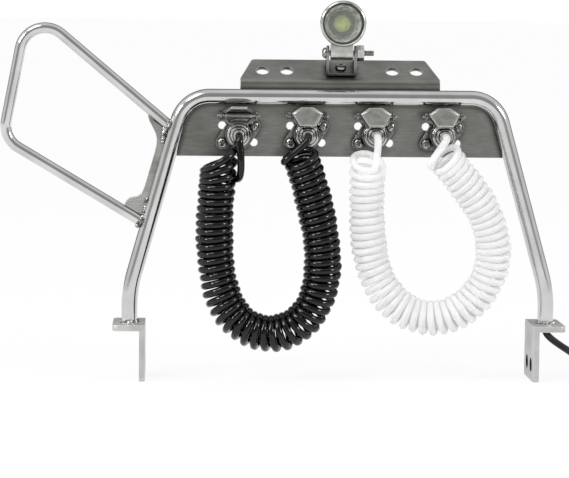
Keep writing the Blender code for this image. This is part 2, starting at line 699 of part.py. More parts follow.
def make_sockets(stand, finishes):
    body = socket_mesh()
    lid = lid_mesh()
    plug = plug_mesh()
    pin = solid(drum(PIN_DIAMETER / 2, -PIN_LENGTH / 2, PIN_LENGTH / 2, along_x, 10))
    through = FLANGE_SHEET + 2 * SEAT_GAP + PLATE_SHEET + SCREW_NUT_HEIGHT + SEAT_GAP
    screw = screw_mesh(SCREW_HEAD, SCREW_HEAD_HEIGHT, SCREW_SHANK, through, forward)
    nut = nut_mesh(SCREW_NUT, SCREW_NUT_HEIGHT, SCREW_SHANK + 2 * SEAT_GAP, along_y)
    for number, across in enumerate(socket_places(), 1):
        seat = empty(f"socket_{number}_seat", stand, (across, plate_front, socket_height))
        place(f"socket_{number}_body", body, finishes["cast"], seat)
        place(f"socket_{number}_plug", plug, finishes["turned"], seat)
        pivot = empty(f"socket_{number}_lid_axis", seat, (0.0, -PIN_FORWARD, PIN_RISE))
        place(f"socket_{number}_lid_pin", pin, finishes["turned"], pivot)
        drop = LID_REST_DROP - (LID_RAISED if number == 1 else 0.0)
        place(f"socket_{number}_lid", lid, finishes["sheet"], pivot, turn=(drop, 0.0, 0.0))
        for corner, side in (("upper", 1), ("lower", -1)):
            spot = (side * SCREW_SPREAD / 2, side * SCREW_RISE / 2)
            face = -(FLANGE_SHEET + 2 * SEAT_GAP)
            place(f"socket_{number}_{corner}_screw", screw, finishes["screw"], seat, (spot[0], face, spot[1]))
            behind = PLATE_SHEET + SEAT_GAP
            place(f"socket_{number}_{corner}_nut", nut, finishes["screw"], seat, (spot[0], behind, spot[1]))


def make_bracket(swivel, stand, finishes):
    # U bracket: drawn with Z off the shelf's face, held by one screw, carrying the pivot bolt
    half = BRACKET_WIDTH / 2
    deep = BRACKET_DEPTH / 2
    floor = SEAT_GAP + RUN_GAP / 2
    ring = BRACKET_SHEET
    section = rounded(
        [(-half, PIVOT_HEIGHT + ARM_TIP_RADIUS), (-half, floor), (half, floor), (half, PIVOT_HEIGHT + ARM_TIP_RADIUS),
         (half - ring, PIVOT_HEIGHT + ARM_TIP_RADIUS), (half - ring, floor + ring), (-half + ring, floor + ring),
         (-half + ring, PIVOT_HEIGHT + ARM_TIP_RADIUS)],
        [0.0, ring, ring, 0.0, 0.0, 0.0, 0.0, 0.0], steps=3)
    channel = prism(section, -deep, deep, along_y)
    tip = [tuple(point) for point in circle(ARM_TIP_RADIUS, ROUND, (0.0, PIVOT_HEIGHT))]
    side_view = hull(tip + [(-deep, floor - ring), (deep, floor - ring), (-deep, floor + 2 * ring), (deep, floor + 2 * ring)])
    kept = prism(side_view, -BRACKET_WIDTH, BRACKET_WIDTH, along_x)
    bolt_hole = drum(PIVOT_BOLT / 2 + SEAT_GAP, -BRACKET_WIDTH, BRACKET_WIDTH, along_x, SMALL_ROUND, (0.0, PIVOT_HEIGHT))
    screw_hole = drum(BRACKET_SCREW / 2 + RUN_GAP, -BRACKET_DEPTH, floor + 2 * ring, along_z, SMALL_ROUND)
    mesh = solid_within(channel, kept, [bolt_hole, screw_hole])
    place("lamp_bracket", mesh, finishes["sheet"], swivel)

    head_seat = floor + ring + RUN_GAP / 2
    reach = head_seat + PLATE_SHEET + SEAT_GAP + SCREW_NUT_HEIGHT
    screw = screw_mesh(BRACKET_SCREW_HEAD, SCREW_HEAD_HEIGHT, BRACKET_SCREW, reach, along_z)
    slope = (SHELF_SLOPE, 0.0, 0.0)
    seat = shelf_point(LAMP_OFFSET, BRACKET_SEAT, head_seat)
    place("bracket_screw", screw, finishes["screw"], stand, seat, slope)
    nut = nut_mesh(BRACKET_SCREW_HEAD * 1.2, SCREW_NUT_HEIGHT, BRACKET_SCREW + 2 * SEAT_GAP, along_z)
    under = shelf_point(LAMP_OFFSET, BRACKET_SEAT, -PLATE_SHEET - SEAT_GAP - SCREW_NUT_HEIGHT)
    place("bracket_nut", nut, finishes["screw"], stand, under, slope)

    nut_seat = half + SEAT_GAP
    tail = nut_seat + PIVOT_NUT_HEIGHT + PIVOT_TAIL
    bolt = screw_mesh(PIVOT_HEAD, PIVOT_HEAD_HEIGHT, PIVOT_BOLT, nut_seat + tail, leftwards)
    place("pivot_bolt", bolt, finishes["screw"], swivel, (-nut_seat, 0.0, PIVOT_HEIGHT))
    pivot_nut = nut_mesh(PIVOT_NUT, PIVOT_NUT_HEIGHT, PIVOT_BOLT + 2 * SEAT_GAP, along_x)
    place("pivot_nut", pivot_nut, finishes["screw"], swivel, (nut_seat, 0.0, PIVOT_HEIGHT))


def leftwards(a, b, depth):
    return Vector((-depth, a, b))


def solid_within(shape, limit, cuts):
    # Keeps only what lies inside the limit, then cuts
    target = helper_object(shape)
    tool = helper_object(limit)
    trim = target.modifiers.new("trim", "BOOLEAN")
    trim.operation = "INTERSECT"
    trim.solver = "EXACT"
    trim.object = tool
    bpy.context.view_layer.update()
    evaluated = target.evaluated_get(bpy.context.evaluated_depsgraph_get())
    trimmed = bmesh.new()
    trimmed.from_mesh(evaluated.to_mesh())
    evaluated.to_mesh_clear()
    for helper in (tool, target):
        bpy.data.objects.remove(helper)
    return solid(trimmed, cuts=cuts)


def make_lamp(tilt, finishes):
    # Drawn about the pivot, with the lamp's axis above it and depth running forward
    def lamp_axis(a, b, depth):
        return Vector((a, -depth, b + LAMP_RISE))

    outer = HOUSING_DIAMETER / 2
    inner = outer - HOUSING_WALL
    front = HOUSING_FRONT
    back = front - HOUSING_LENGTH
    dome_depth = outer * 0.75
    turns = [math.pi / 2 * step / 6 for step in range(6)]
    dome = [(outer * math.cos(turn), back + dome_depth * (1 - math.sin(turn))) for turn in turns]
    bowl = dome_depth - 2 * HOUSING_WALL
    hollow = [(inner * math.cos(turn), back + dome_depth - bowl * math.sin(turn)) for turn in turns]
    profile = [(inner, front), (outer, front)] + dome + [(0.0, back), (0.0, back + 2 * HOUSING_WALL)] + hollow[::-1]
    cup = lathe(profile, ROUND, lamp_axis)
    lug_half = LUG_WIDTH / 2
    lug_side = hull([tuple(point) for point in circle(LUG_THICKNESS / 2, ROUND)]
                    + [(-LUG_THICKNESS / 2, LAMP_RISE - inner), (LUG_THICKNESS / 2, LAMP_RISE - inner)])
    lug = prism(lug_side, -lug_half, lug_half, along_x)
    clear = drum(inner + HOUSING_WALL / 2, back + dome_depth, front + HOUSING_WALL, lamp_axis, ROUND)
    bolt_hole = drum(PIVOT_BOLT / 2 + RUN_GAP, -LUG_WIDTH, LUG_WIDTH, along_x, SMALL_ROUND)
    place("lamp_housing", solid(cup, joins=[solid_shape(lug, [bolt_hole, clear])]), finishes["turned"], tilt)

    rim = LAMP_DIAMETER / 2
    window = rim - BEZEL_WALL
    seat = front + SEAT_GAP
    lip = BEZEL_LENGTH / 4
    bezel = [(window, seat), (rim, seat), (rim, seat + BEZEL_LENGTH - lip), (rim - lip / 2, seat + BEZEL_LENGTH),
             (window + lip / 2, seat + BEZEL_LENGTH), (window, seat + BEZEL_LENGTH - lip)]
    place("lamp_bezel", solid(lathe(bezel, 24, lamp_axis)), finishes["turned"], tilt)

    lens = drum(window - SEAT_GAP, seat + SEAT_GAP, seat + SEAT_GAP + LENS_THICKNESS, lamp_axis, 24)
    place("lamp_lens", solid(lens), finishes["glass"], tilt)

    led = LED_DIAMETER / 2
    mouth = inner - SEAT_GAP
    throat = led + SEAT_GAP + REFLECTOR_WALL
    deep = front - REFLECTOR_DEPTH
    wall = REFLECTOR_WALL
    reflector = [(throat - wall, deep), (throat, deep), (mouth, front - wall), (mouth, front), (mouth - wall, front)]
    place("lamp_reflector", solid(lathe(reflector, ROUND, lamp_axis)), finishes["mirror"], tilt)

    led_back = back + dome_depth - bowl * math.sqrt(1 - (led / inner) ** 2) + RUN_GAP
    shoulder = deep + LED_BASE_HEIGHT / 2
    bulb = [(led * math.cos(turn), shoulder + led * math.sin(turn))
            for turn in (math.pi / 2 * step / 5 for step in range(5))]
    led_profile = [(0.0, led_back), (led, led_back)] + bulb + [(0.0, shoulder + led)]
    place("lamp_led", solid(lathe(led_profile, 14, lamp_axis, closed=False)), finishes["led"], tilt)


def solid_shape(shape, cuts):
    # A cut shape that can be joined to another one
    made = bmesh.new()
    mesh = solid(shape, cuts=cuts)
    made.from_mesh(mesh)
    bpy.data.meshes.remove(mesh)
    return made


def curly_hose(name, plugs, axis_route, first_lead, last_lead, finish, stand):
    # A helix round a smooth axis, led to the glands of two plugs
    axis = smooth_route(axis_route, HOSE_DIAMETER)
    count = HOSE_CURLS * CURL_POINTS
    back = Vector((0.0, 1.0, 0.0))
    coil = []
    for index in range(count + 1):
        share = index / count
        spot = share * (len(axis) - 1)
        low = min(int(spot), len(axis) - 2)
        middle = axis[low].lerp(axis[low + 1], spot - low)
        way = (axis[min(low + 2, len(axis) - 1)] - axis[max(low - 1, 0)]).normalized()
        side = back.cross(way).normalized()
        turn = 1.5 * math.pi + (2 * HOSE_CURLS - 0.5) * math.pi * share
        coil.append(middle + (side * math.cos(turn) + back * math.sin(turn)) * HOSE_COIL_RADIUS)
    ends = []
    for number, lead in ((plugs[0], first_lead), (plugs[1], last_lead)):
        across = socket_places()[number - 1]
        start = Vector((across, plate_front - gland_front - SEAT_GAP, socket_height))
        straight = start - Vector((0.0, HOSE_DIAMETER, 0.0))
        ends.append((start, [straight] + [start + Vector(step) for step in lead]))
    lead_in = smooth_route(ends[0][1] + [coil[0]], 1.5 * HOSE_DIAMETER)[:-1]
    lead_out = smooth_route(ends[1][1] + [coil[-1]], 1.5 * HOSE_DIAMETER)[:-1]
    points = [ends[0][0]] + lead_in + coil + lead_out[::-1] + [ends[1][0]]
    gap = least_gap(points, HOSE_DIAMETER)
    print(f"{name}: {HOSE_CURLS} curls, least gap to itself {gap / MM:.2f} mm")
    cord_tube(name, points, HOSE_DIAMETER, finish, stand, 1)


def make_hoses(stand, finishes):
    hang = plate_front - gland_front - HOSE_DIAMETER
    black_axis = [(-24.2, 44.6), (-25.2, 38.0), (-25.5, 31.0), (-25.0, 22.6), (-23.3, 15.6), (-19.5, 11.1),
                  (-14.0, 9.4), (-8.7, 11.1), (-5.0, 15.6), (-3.4, 22.4), (-4.1, 30.1), (-6.2, 38.0), (-7.6, 43.4)]
    white_axis = [(4.6, 44.2), (4.8, 38.0), (5.0, 29.0), (6.8, 20.6), (11.6, 14.6), (18.4, 12.4),
                  (25.4, 14.9), (30.0, 21.4), (30.8, 28.0), (28.6, 34.6), (25.4, 39.6), (22.2, 43.6)]
    for name, plugs, axis, tone in (("black_hose", (1, 2), black_axis, "black_hose"),
                                    ("white_hose", (3, 4), white_axis, "white_hose")):
        route = [(across * MM, hang, height * MM) for across, height in axis]
        first_lead = [(0.1 * MM, -2.3 * MM, -1.0 * MM), (0.3 * MM, -2.6 * MM, -3.0 * MM)]
        last_lead = [(-0.5 * MM, -2.3 * MM, -0.9 * MM), (-2.2 * MM, -2.4 * MM, -3.0 * MM)]
        curly_hose(name, plugs, route, first_lead, last_lead, finishes[tone], stand)


def make_lead(stand, finishes):
    # The lead leaves the right leg through the tab and drops to a flat coil of two layers on the floor
    radius = LEAD_DIAMETER / 2
    rest = radius + 0.05 * MM
    centre_x, centre_y = LEAD_COIL_CENTRE
    layer = LEAD_COIL_STEP
    half_turns = LEAD_COIL_TURNS * LOOP_POINTS
    start_turn = math.pi * 1.5
    coil = []
    for index in range(2 * half_turns + 1):
        turns = index / LOOP_POINTS
        inward = min(turns, 2 * LEAD_COIL_TURNS - turns)
        climb = min(max((turns - LEAD_COIL_TURNS) * 2 + 0.5, 0.0), 1.0)
        reach = LEAD_COIL_RADIUS - LEAD_COIL_STEP * inward
        turn = start_turn + 2 * math.pi * turns
        height = rest + layer * climb
        coil.append(Vector((centre_x + reach * math.cos(turn), centre_y + reach * math.sin(turn), height)))
    print(f"lead_coil: least gap to itself {least_gap(coil, LEAD_DIAMETER) / MM:.2f} mm")
    cord_tube("lead_coil", coil, LEAD_DIAMETER, finishes["cable"], stand, 1)

    exit_point = Vector((foot_axis, 0.0, tab_top - FOOT_SHEET - SEAT_GAP))
    along = (coil[1] - coil[0]).normalized()
    arrive = coil[0] - along * 2 * SEAT_GAP
    route = [
        exit_point, exit_point + Vector((0.2, 0.0, -1.0)) * MM, exit_point + Vector((1.8, -0.3, -2.4)) * MM,
        exit_point + Vector((4.0, -1.2, -3.8)) * MM, exit_point + Vector((6.6, -3.0, -5.4)) * MM,
        Vector((arrive.x - 7.5 * MM, arrive.y + 1.6 * MM, rest + 1.2 * MM)),
        Vector((arrive.x - 3.6 * MM, arrive.y + 0.2 * MM, rest + 0.1 * MM)),
        arrive - along * LEAD_DIAMETER, arrive,
    ]
    cord_tube("lamp_lead", smooth_route(route, 1.2 * LEAD_DIAMETER), LEAD_DIAMETER, finishes["cable"], stand, 2)

    along = (coil[-1] - coil[-2]).normalized()
    tail_start = coil[-1] + along * 2 * SEAT_GAP
    plug_half = LEAD_PLUG_WIDTH / 2
    drop = [
        tail_start, tail_start + along * LEAD_DIAMETER, tail_start + Vector((4.0 * MM, 0.4 * MM, -0.9 * MM)),
        Vector((tail_start.x + 7.0 * MM, tail_start.y + 1.6 * MM, plug_half + 0.2 * MM)),
        Vector((tail_start.x + 9.6 * MM, tail_start.y + 3.6 * MM, plug_half)),
    ]
    tail = smooth_route(drop, 1.2 * LEAD_DIAMETER)
    cord_tube("lead_tail", tail, LEAD_DIAMETER, finishes["cable"], stand, 2)
    heading = (tail[-1] - tail[-2])
    turn = math.atan2(heading.y, heading.x)
    shell = rounded(
        [(-plug_half, -plug_half), (plug_half, -plug_half), (plug_half, plug_half), (-plug_half, plug_half)],
        [plug_half / 4] * 4, steps=2)
    slots = [drum(plug_half / 4, LEAD_PLUG_LENGTH * 0.6, LEAD_PLUG_LENGTH * 1.5, along_x, 10, (side * plug_half / 2, 0.0))
             for side in (-1, 1)]
    body = prism(shell, 0.0, LEAD_PLUG_LENGTH, along_x)
    spot = tail[-1] + Vector((math.cos(turn), math.sin(turn), 0.0)) * SEAT_GAP
    plug = place("lead_plug", solid(body, cuts=slots), finishes["plug"], stand, (spot.x, spot.y, plug_half))
    plug.rotation_euler = (0.0, 0.0, turn)

    inside = LEAD_COIL_RADIUS - LEAD_COIL_STEP * LEAD_COIL_TURNS - radius - RUN_GAP
    outside = LEAD_COIL_RADIUS + radius + RUN_GAP
    top = rest + layer + radius + RUN_GAP
    band = rounded(
        [(inside - TIE_WALL, top + TIE_WALL), (inside - TIE_WALL, 0.0), (inside, 0.0), (inside, top),
         (outside, top), (outside, 0.0), (outside + TIE_WALL, 0.0), (outside + TIE_WALL, top + TIE_WALL)],
        [TIE_WALL, 0.0, 0.0, 0.0, 0.0, 0.0, 0.0, TIE_WALL], steps=3)
    tie = prism(band, -TIE_WIDTH / 2, TIE_WIDTH / 2, along_y)
    place("lead_tie", solid(tie), finishes["plug"], stand, (centre_x, centre_y, 0.0))


def stand_on_origin(stand, cord_names):
    # Moves the whole stand so that the middle of its footprint is the origin, cords not counted
    bpy.context.view_layer.update()
    graph = bpy.context.evaluated_depsgraph_get()
    corners = []
    for piece in bpy.context.scene.objects:
        if piece.type == "EMPTY" or piece.name in cord_names:
            continue
        shown = piece.evaluated_get(graph)
        corners += [shown.matrix_world @ Vector(corner) for corner in exact_corners(shown)]
    lows = [min(corner[axis] for corner in corners) for axis in range(3)]
    highs = [max(corner[axis] for corner in corners) for axis in range(3)]
    stand.location = (-(lows[0] + highs[0]) / 2, -(lows[1] + highs[1]) / 2, -lows[2])
    print("stand moved by", [round(value / MM, 3) for value in stand.location], "mm")


def exact_corners(piece):
    return [vertex.co for vertex in piece.data.vertices]


def main():
    for old in list(bpy.data.objects):
        bpy.data.objects.remove(old)
    finishes = {
        "tube": material("polished_stainless", (0.72, 0.72, 0.70), 0.14, 1.0),
        "foot": material("bead_blasted_stainless", (0.6, 0.6, 0.58), 0.5, 1.0),
        "sheet": material("brushed_stainless", (0.42, 0.42, 0.41), 0.38, 1.0),
        "cast": material("satin_nickel", (0.45, 0.45, 0.44), 0.32, 1.0),
        "turned": material("turned_aluminium", (0.66, 0.66, 0.65), 0.25, 1.0),
        "screw": material("plated_screw_steel", (0.35, 0.35, 0.34), 0.3, 1.0),
        "mirror": material("mirror_reflector", (0.85, 0.85, 0.83), 0.08, 1.0),
        "glass": material("clear_lens", (0.92, 0.94, 0.94), 0.05, 0.0),
        "led": material("led_resin", (0.75, 0.78, 0.42), 0.2, 0.0),
        "black_hose": material("black_hose_plastic", (0.015, 0.015, 0.015), 0.35, 0.0),
        "white_hose": material("clear_hose_plastic", (0.88, 0.88, 0.88), 0.3, 0.0),
        "cable": material("black_cable_rubber", (0.02, 0.02, 0.02), 0.5, 0.0),
        "plug": material("black_moulded_plastic", (0.02, 0.02, 0.02), 0.45, 0.0),
    }
    stand = empty("stand", None, (0.0, 0.0, 0.0))
    make_hoop(stand, finishes["tube"])
    make_feet(stand, finishes["foot"])
    make_handle(stand, finishes["tube"], finishes["sheet"])
    make_plate(stand, finishes["sheet"])
    make_sockets(stand, finishes)
    swivel = empty("lamp_swivel_axis", stand, shelf_point(LAMP_OFFSET, BRACKET_SEAT, 0.0), SHELF_SLOPE)
    make_bracket(swivel, stand, finishes)
    tilt = empty("lamp_tilt_axis", swivel, (0.0, 0.0, PIVOT_HEIGHT), -SHELF_SLOPE)
    make_lamp(tilt, finishes)
    make_hoses(stand, finishes)
    make_lead(stand, finishes)
    cords = {"black_hose", "white_hose", "lamp_lead", "lead_coil", "lead_tail", "lead_tie", "lead_plug"}
    stand_on_origin(stand, cords)


main()
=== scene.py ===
import json
import math
import bmesh
import bpy
import numpy as np
from mathutils import Matrix, Vector


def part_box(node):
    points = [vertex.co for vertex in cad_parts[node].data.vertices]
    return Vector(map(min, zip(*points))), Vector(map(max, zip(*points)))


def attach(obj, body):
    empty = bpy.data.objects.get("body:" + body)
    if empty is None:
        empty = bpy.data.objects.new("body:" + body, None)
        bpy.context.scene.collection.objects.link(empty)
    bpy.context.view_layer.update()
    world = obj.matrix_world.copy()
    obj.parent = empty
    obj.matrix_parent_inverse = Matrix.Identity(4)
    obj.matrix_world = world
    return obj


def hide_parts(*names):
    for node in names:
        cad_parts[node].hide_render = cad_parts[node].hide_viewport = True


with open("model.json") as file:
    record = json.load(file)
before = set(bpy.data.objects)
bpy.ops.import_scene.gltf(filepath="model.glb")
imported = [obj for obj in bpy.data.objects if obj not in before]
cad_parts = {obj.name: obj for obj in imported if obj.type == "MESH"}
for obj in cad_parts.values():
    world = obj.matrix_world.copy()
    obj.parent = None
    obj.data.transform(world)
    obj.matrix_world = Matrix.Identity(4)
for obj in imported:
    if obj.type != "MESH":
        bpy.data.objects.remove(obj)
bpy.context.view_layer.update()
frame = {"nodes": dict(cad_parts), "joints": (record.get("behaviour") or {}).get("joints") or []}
scene = bpy.context.scene
mm = 0.001

# the hoop's tube gives the middle that every size below is measured from
tubeLow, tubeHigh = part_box("hoop_tube")
hoopX = (tubeLow.x + tubeHigh.x) / 2
hoopY = (tubeLow.y + tubeHigh.y) / 2


def at(x, y, z):  # millimetres right, back and up from the middle of the hoop's feet
    return Vector((hoopX + x * mm, hoopY + y * mm, z * mm))


def newObject(name, data):
    made = bpy.data.objects.new(name, data)
    scene.collection.objects.link(made)
    return made


def jointNamed(name):
    return next(joint for joint in frame["joints"] if joint["name"] == name)


cameraSet = {
    "place": (-34.26, -462.86, 73.26),
    "yaw": 0.0501,
    "pitch": -0.0968,
    "roll": 0.0100,
    "focalPixels": 2309.95,
    "pixelsWide": 569,
    "sensor": 36.0,
    "nearest": 10.0,
}


def setCamera():
    yaw, pitch, roll = cameraSet["yaw"], cameraSet["pitch"], cameraSet["roll"]
    ahead = Vector((math.sin(yaw) * math.cos(pitch), math.cos(yaw) * math.cos(pitch), math.sin(pitch)))
    right = Vector((math.cos(yaw), -math.sin(yaw), 0.0))
    up = right.cross(ahead)
    across = right * math.cos(roll) + up * math.sin(roll)
    upright = up * math.cos(roll) - right * math.sin(roll)
    lens = bpy.data.cameras.new("photoCamera")
    lens.sensor_fit = "HORIZONTAL"
    lens.sensor_width = cameraSet["sensor"]
    lens.lens = cameraSet["focalPixels"] / cameraSet["pixelsWide"] * cameraSet["sensor"]
    lens.clip_start = cameraSet["nearest"] * mm
    camera = newObject("photoCamera", lens)
    turn = Matrix((across, upright, -ahead)).transposed().to_4x4()
    camera.matrix_world = Matrix.Translation(at(*cameraSet["place"])) @ turn
    scene.camera = camera
    print("camera set")


# nodes and colours
metal = {"Metallic": 1.0}
grainRange = (0.3, 0.7)  # where most of a noise's values lie
edgeRange = (0.99, 0.86)  # how well a softened normal fits: flat, then an edge that is partly worn and partly painted highlight
cornerShadeRange = (0.86, 0.4)  # how open a place is: unshaded, then darkened by painted shade
lookSamples = 6


def linear(hexColour):
    parts = [int(hexColour[start:start + 2], 16) / 255 for start in (1, 3, 5)]
    return (*[part / 12.92 if part <= 0.04045 else ((part + 0.055) / 1.055) ** 2.4 for part in parts], 1.0)


def node(tree, kind, sets=(), links=()):
    made = tree.nodes.new(kind)
    for key, value in dict(sets).items():
        if isinstance(key, str) and hasattr(made, key):
            setattr(made, key, value)
        else:
            made.inputs[key].default_value = value
    for key, source in dict(links).items():
        tree.links.new(source, made.inputs[key])
    return made


def startMaterial(name, sets):
    made = bpy.data.materials.new(name)
    made.use_nodes = True
    for key, value in sets.items():
        made.node_tree.nodes["Principled BSDF"].inputs[key].default_value = value
    return made, made.node_tree


def grain(tree, size, detail=3.0, roughness=0.55):  # size in mm, or a size each along X, Y and Z
    sizes = size if isinstance(size, tuple) else (size, size, size)
    place = node(tree, "ShaderNodeTexCoord")
    scale = tuple(1 / (length * mm) for length in sizes)
    stretch = node(tree, "ShaderNodeMapping", {"Scale": scale}, {"Vector": place.outputs["Object"]})
    sets = {"Scale": 1.0, "Detail": detail, "Roughness": roughness}
    return node(tree, "ShaderNodeTexNoise", sets, {"Vector": stretch.outputs["Vector"]}).outputs["Fac"]


def toned(tree, source, first, second, limits=grainRange, most=1.0):
    # from the first colour to the second while the source goes from limit to limit
    sets = {"From Min": limits[0], "From Max": limits[1], "To Max": most}
    share = node(tree, "ShaderNodeMapRange", sets, {"Value": source}).outputs["Result"]
    mix = node(tree, "ShaderNodeMix", {"data_type": "RGBA", 7: linear(second)}, {"Factor": share})
    if isinstance(first, str):
        mix.inputs[6].default_value = linear(first)
    else:
        tree.links.new(first, mix.inputs[6])
    return mix.outputs[2]


def edgeTurn(tree, radius):  # 1 on flats, less where the surface turns within this radius
    soft = node(tree, "ShaderNodeBevel", {"samples": lookSamples, "Radius": radius * mm})
    facing = node(tree, "ShaderNodeNewGeometry")
    return node(tree, "ShaderNodeVectorMath", {"operation": "DOT_PRODUCT"},
                {0: soft.outputs["Normal"], 1: facing.outputs["Normal"]}).outputs["Value"]


# lightens edges towards a bright colour: partly wear, partly a painted highlight
def wornAndHighlitEdges(tree, tone, radius, bright):
    return toned(tree, edgeTurn(tree, radius), tone, bright, edgeRange)


# darkens corners and hollows by ambient occlusion: painted shade
def paintedCornerShade(tree, tone, reach, shadeTone):
    sets = {"samples": lookSamples, "Distance": reach * mm}
    return toned(tree, node(tree, "ShaderNodeAmbientOcclusion", sets).outputs["AO"], tone, shadeTone, cornerShadeRange)


def surfaced(tree, tone=None, rough=(), relief=(), meeting="ADD"):
    # rough has rows of source, least, most and limits; relief is a source, a depth in mm and a strength
    shader = tree.nodes["Principled BSDF"]
    if tone:
        tree.links.new(tone, shader.inputs["Base Color"])
    levels = []
    for source, least, most, *limits in rough:
        low, high = limits or grainRange
        sets = {"From Min": low, "From Max": high, "To Min": least, "To Max": most}
        levels.append(node(tree, "ShaderNodeMapRange", sets, {"Value": source}).outputs["Result"])
    if len(levels) > 1:
        levels = [node(tree, "ShaderNodeMath", {"operation": meeting}, enumerate(levels)).outputs[0]]
    for level in levels:
        tree.links.new(level, shader.inputs["Roughness"])
    if relief:
        source, depth, strength = relief
        sets = {"Strength": strength, "Distance": depth * mm}
        bump = node(tree, "ShaderNodeBump", sets, {"Height": source})
        tree.links.new(bump.outputs["Normal"], shader.inputs["Normal"])


# finishes

def polishedStainless():
    # drawn stainless tube, buffed: mirror-like, with faint draw lines and handling haze
    made, tree = startMaterial("polishedStainlessTube", metal)
    haze = grain(tree, 6.0, 4.0)
    lines = grain(tree, (0.35, 0.35, 4.0), 2.0)
    tone = toned(tree, haze, "#DADADA", "#C6C6C5")
    surfaced(tree, tone, [(haze, 0.07, 0.14), (lines, 0.0, 0.05)], (lines, 0.01, 0.15))
    return made


def blastedStainless():
    # laser-cut stainless, bead blasted: pale and matte, with a fine pitted grain and brighter cut edges,
    # partly wear and partly painted highlight
    made, tree = startMaterial("blastedStainless", metal)
    pits = grain(tree, 0.22)  # real grit is 0.1 mm, drawn coarser so that it shows
    tone = toned(tree, grain(tree, 4.0), "#D6D6D5", "#BEBEBD")
    # bright cut edges: partly wear, partly painted highlight
    tone = wornAndHighlitEdges(tree, tone, 0.25, "#F0F0EF")
    surfaced(tree, tone, [(pits, 0.42, 0.6)], (pits, 0.03, 0.5))
    return made


def brushedStainless(name, light, dark):
    # cold-rolled sheet rubbed along its length: grey, with fine streaks across, bright edges that are partly
    # wear and partly painted highlight, and painted shade in the corners
    made, tree = startMaterial(name, metal)
    streaks = grain(tree, (3.0, 0.18, 0.18), 5.0, 0.7)
    tone = toned(tree, streaks, light, dark)
    tone = toned(tree, grain(tree, (7.0, 5.0, 5.0), 4.0), tone, "#686864", most=0.6)
    # bright edges are partly wear and partly painted highlight; dark corners are painted shade
    tone = wornAndHighlitEdges(tree, tone, 0.2, "#DEDEDA")
    tone = paintedCornerShade(tree, tone, 1.6, "#1A1A19")
    surfaced(tree, tone, [(streaks, 0.26, 0.4)], (streaks, 0.012, 0.35))
    return made


def stampedSheet():
    # thin stainless sheet, stamped: satin grey with a painted highlight on the edges and painted shade in the
    # corners
    made, tree = startMaterial("polishedStainlessSheet", metal)
    haze = grain(tree, 1.5, 4.0)
    edge = edgeTurn(tree, 0.3)
    tone = toned(tree, haze, "#A0A09B", "#7E7E7A")
    # edges painted near white as a highlight, corners darkened as painted shade
    tone = toned(tree, edge, tone, "#FFFFFC", edgeRange)
    tone = paintedCornerShade(tree, tone, 0.3, "#2A2A29")
    surfaced(tree, tone, [(haze, 0.36, 0.48), (edge, 0.0, 0.5, *edgeRange)], (haze, 0.02, 0.2), "MAXIMUM")
    return made


def castNickel():
    # zinc casting, nickel plated: bright grey with a soft cast skin, corners lightened partly by rubbing and
    # partly by a painted highlight, and painted shade in the hollows
    made, tree = startMaterial("nickelPlatedCasting", metal)
    skin = grain(tree, 0.5, 4.0)
    tone = toned(tree, skin, "#90908B", "#62625F")
    # lighter corners: partly rubbing, partly painted highlight; dark hollows: painted shade
    tone = wornAndHighlitEdges(tree, tone, 0.26, "#A4A4A0")
    tone = paintedCornerShade(tree, tone, 1.2, "#141414")
    surfaced(tree, tone, [(skin, 0.12, 0.24)], (skin, 0.02, 0.3))
    return made


def turnedAluminium():
    # bar aluminium off the lathe: bright, with fine tool rings across its axis, edges partly worn and partly
    # painted highlight, and painted shade in the grooves
    made, tree = startMaterial("turnedAluminium", metal)
    rings = grain(tree, (3.0, 0.12, 3.0), 2.0)  # tool rings are 0.05 mm, drawn coarser so that they show
    tone = toned(tree, grain(tree, 2.5), "#D2D2CE", "#A6A6A2")
    # bright edges: partly wear, partly painted highlight; dark grooves: painted shade
    tone = wornAndHighlitEdges(tree, tone, 0.12, "#FAFAFA")
    tone = paintedCornerShade(tree, tone, 1.0, "#0E0E0D")
    surfaced(tree, tone, [(rings, 0.12, 0.24)], (rings, 0.01, 0.25))
    return made


def platedScrewSteel():
    # small plated machine screws: darker than the sheet, with painted shade in the recess, and rims
    # brightened partly by wear and partly by painted highlight
    made, tree = startMaterial("platedScrewSteel", metal)
    smudge = grain(tree, 0.7, 4.0)
    tone = toned(tree, smudge, "#B8B8B4", "#7C7C78")
    # bright rims: partly wear, partly painted highlight; black recess: painted shade
    tone = wornAndHighlitEdges(tree, tone, 0.12, "#F2F2EE")
    tone = paintedCornerShade(tree, tone, 0.4, "#0C0C0C")
    surfaced(tree, tone, [(smudge, 0.16, 0.32)])
    return made


def holeShadeSteel():
    # walls of cut holes: painted nearly black to stand for the shade inside the holes
    made, tree = startMaterial("paintedHoleShade", {"Metallic": 0.6})
    stain = grain(tree, 0.5)
    surfaced(tree, toned(tree, stain, "#141414", "#2A2A2A"), [(stain, 0.5, 0.7)])
    return made


def mirrorPlating():
    # vacuum-plated plastic reflector: half metal to the eye, mottled by an orange peel that spreads the beam
    made, tree = startMaterial("vacuumPlatedMirror", {"Metallic": 0.5})
    peel = grain(tree, 1.1)
    tone = toned(tree, peel, "#FCFDFA", "#9AA096", (0.42, 0.58))
    surfaced(tree, tone, [(peel, 0.34, 0.55)], (peel, 0.06, 0.35))
    return made


def lensGlass():
    # clear moulded lens: gloss, with a few faint wipe marks
    made, tree = startMaterial("clearLens", {"Base Color": linear("#B4B9B2"), "Alpha": 0.18, "IOR": 1.5})
    surfaced(tree, rough=[(grain(tree, (4.0, 4.0, 0.6), 2.0), 0.0, 0.04)])
    return made


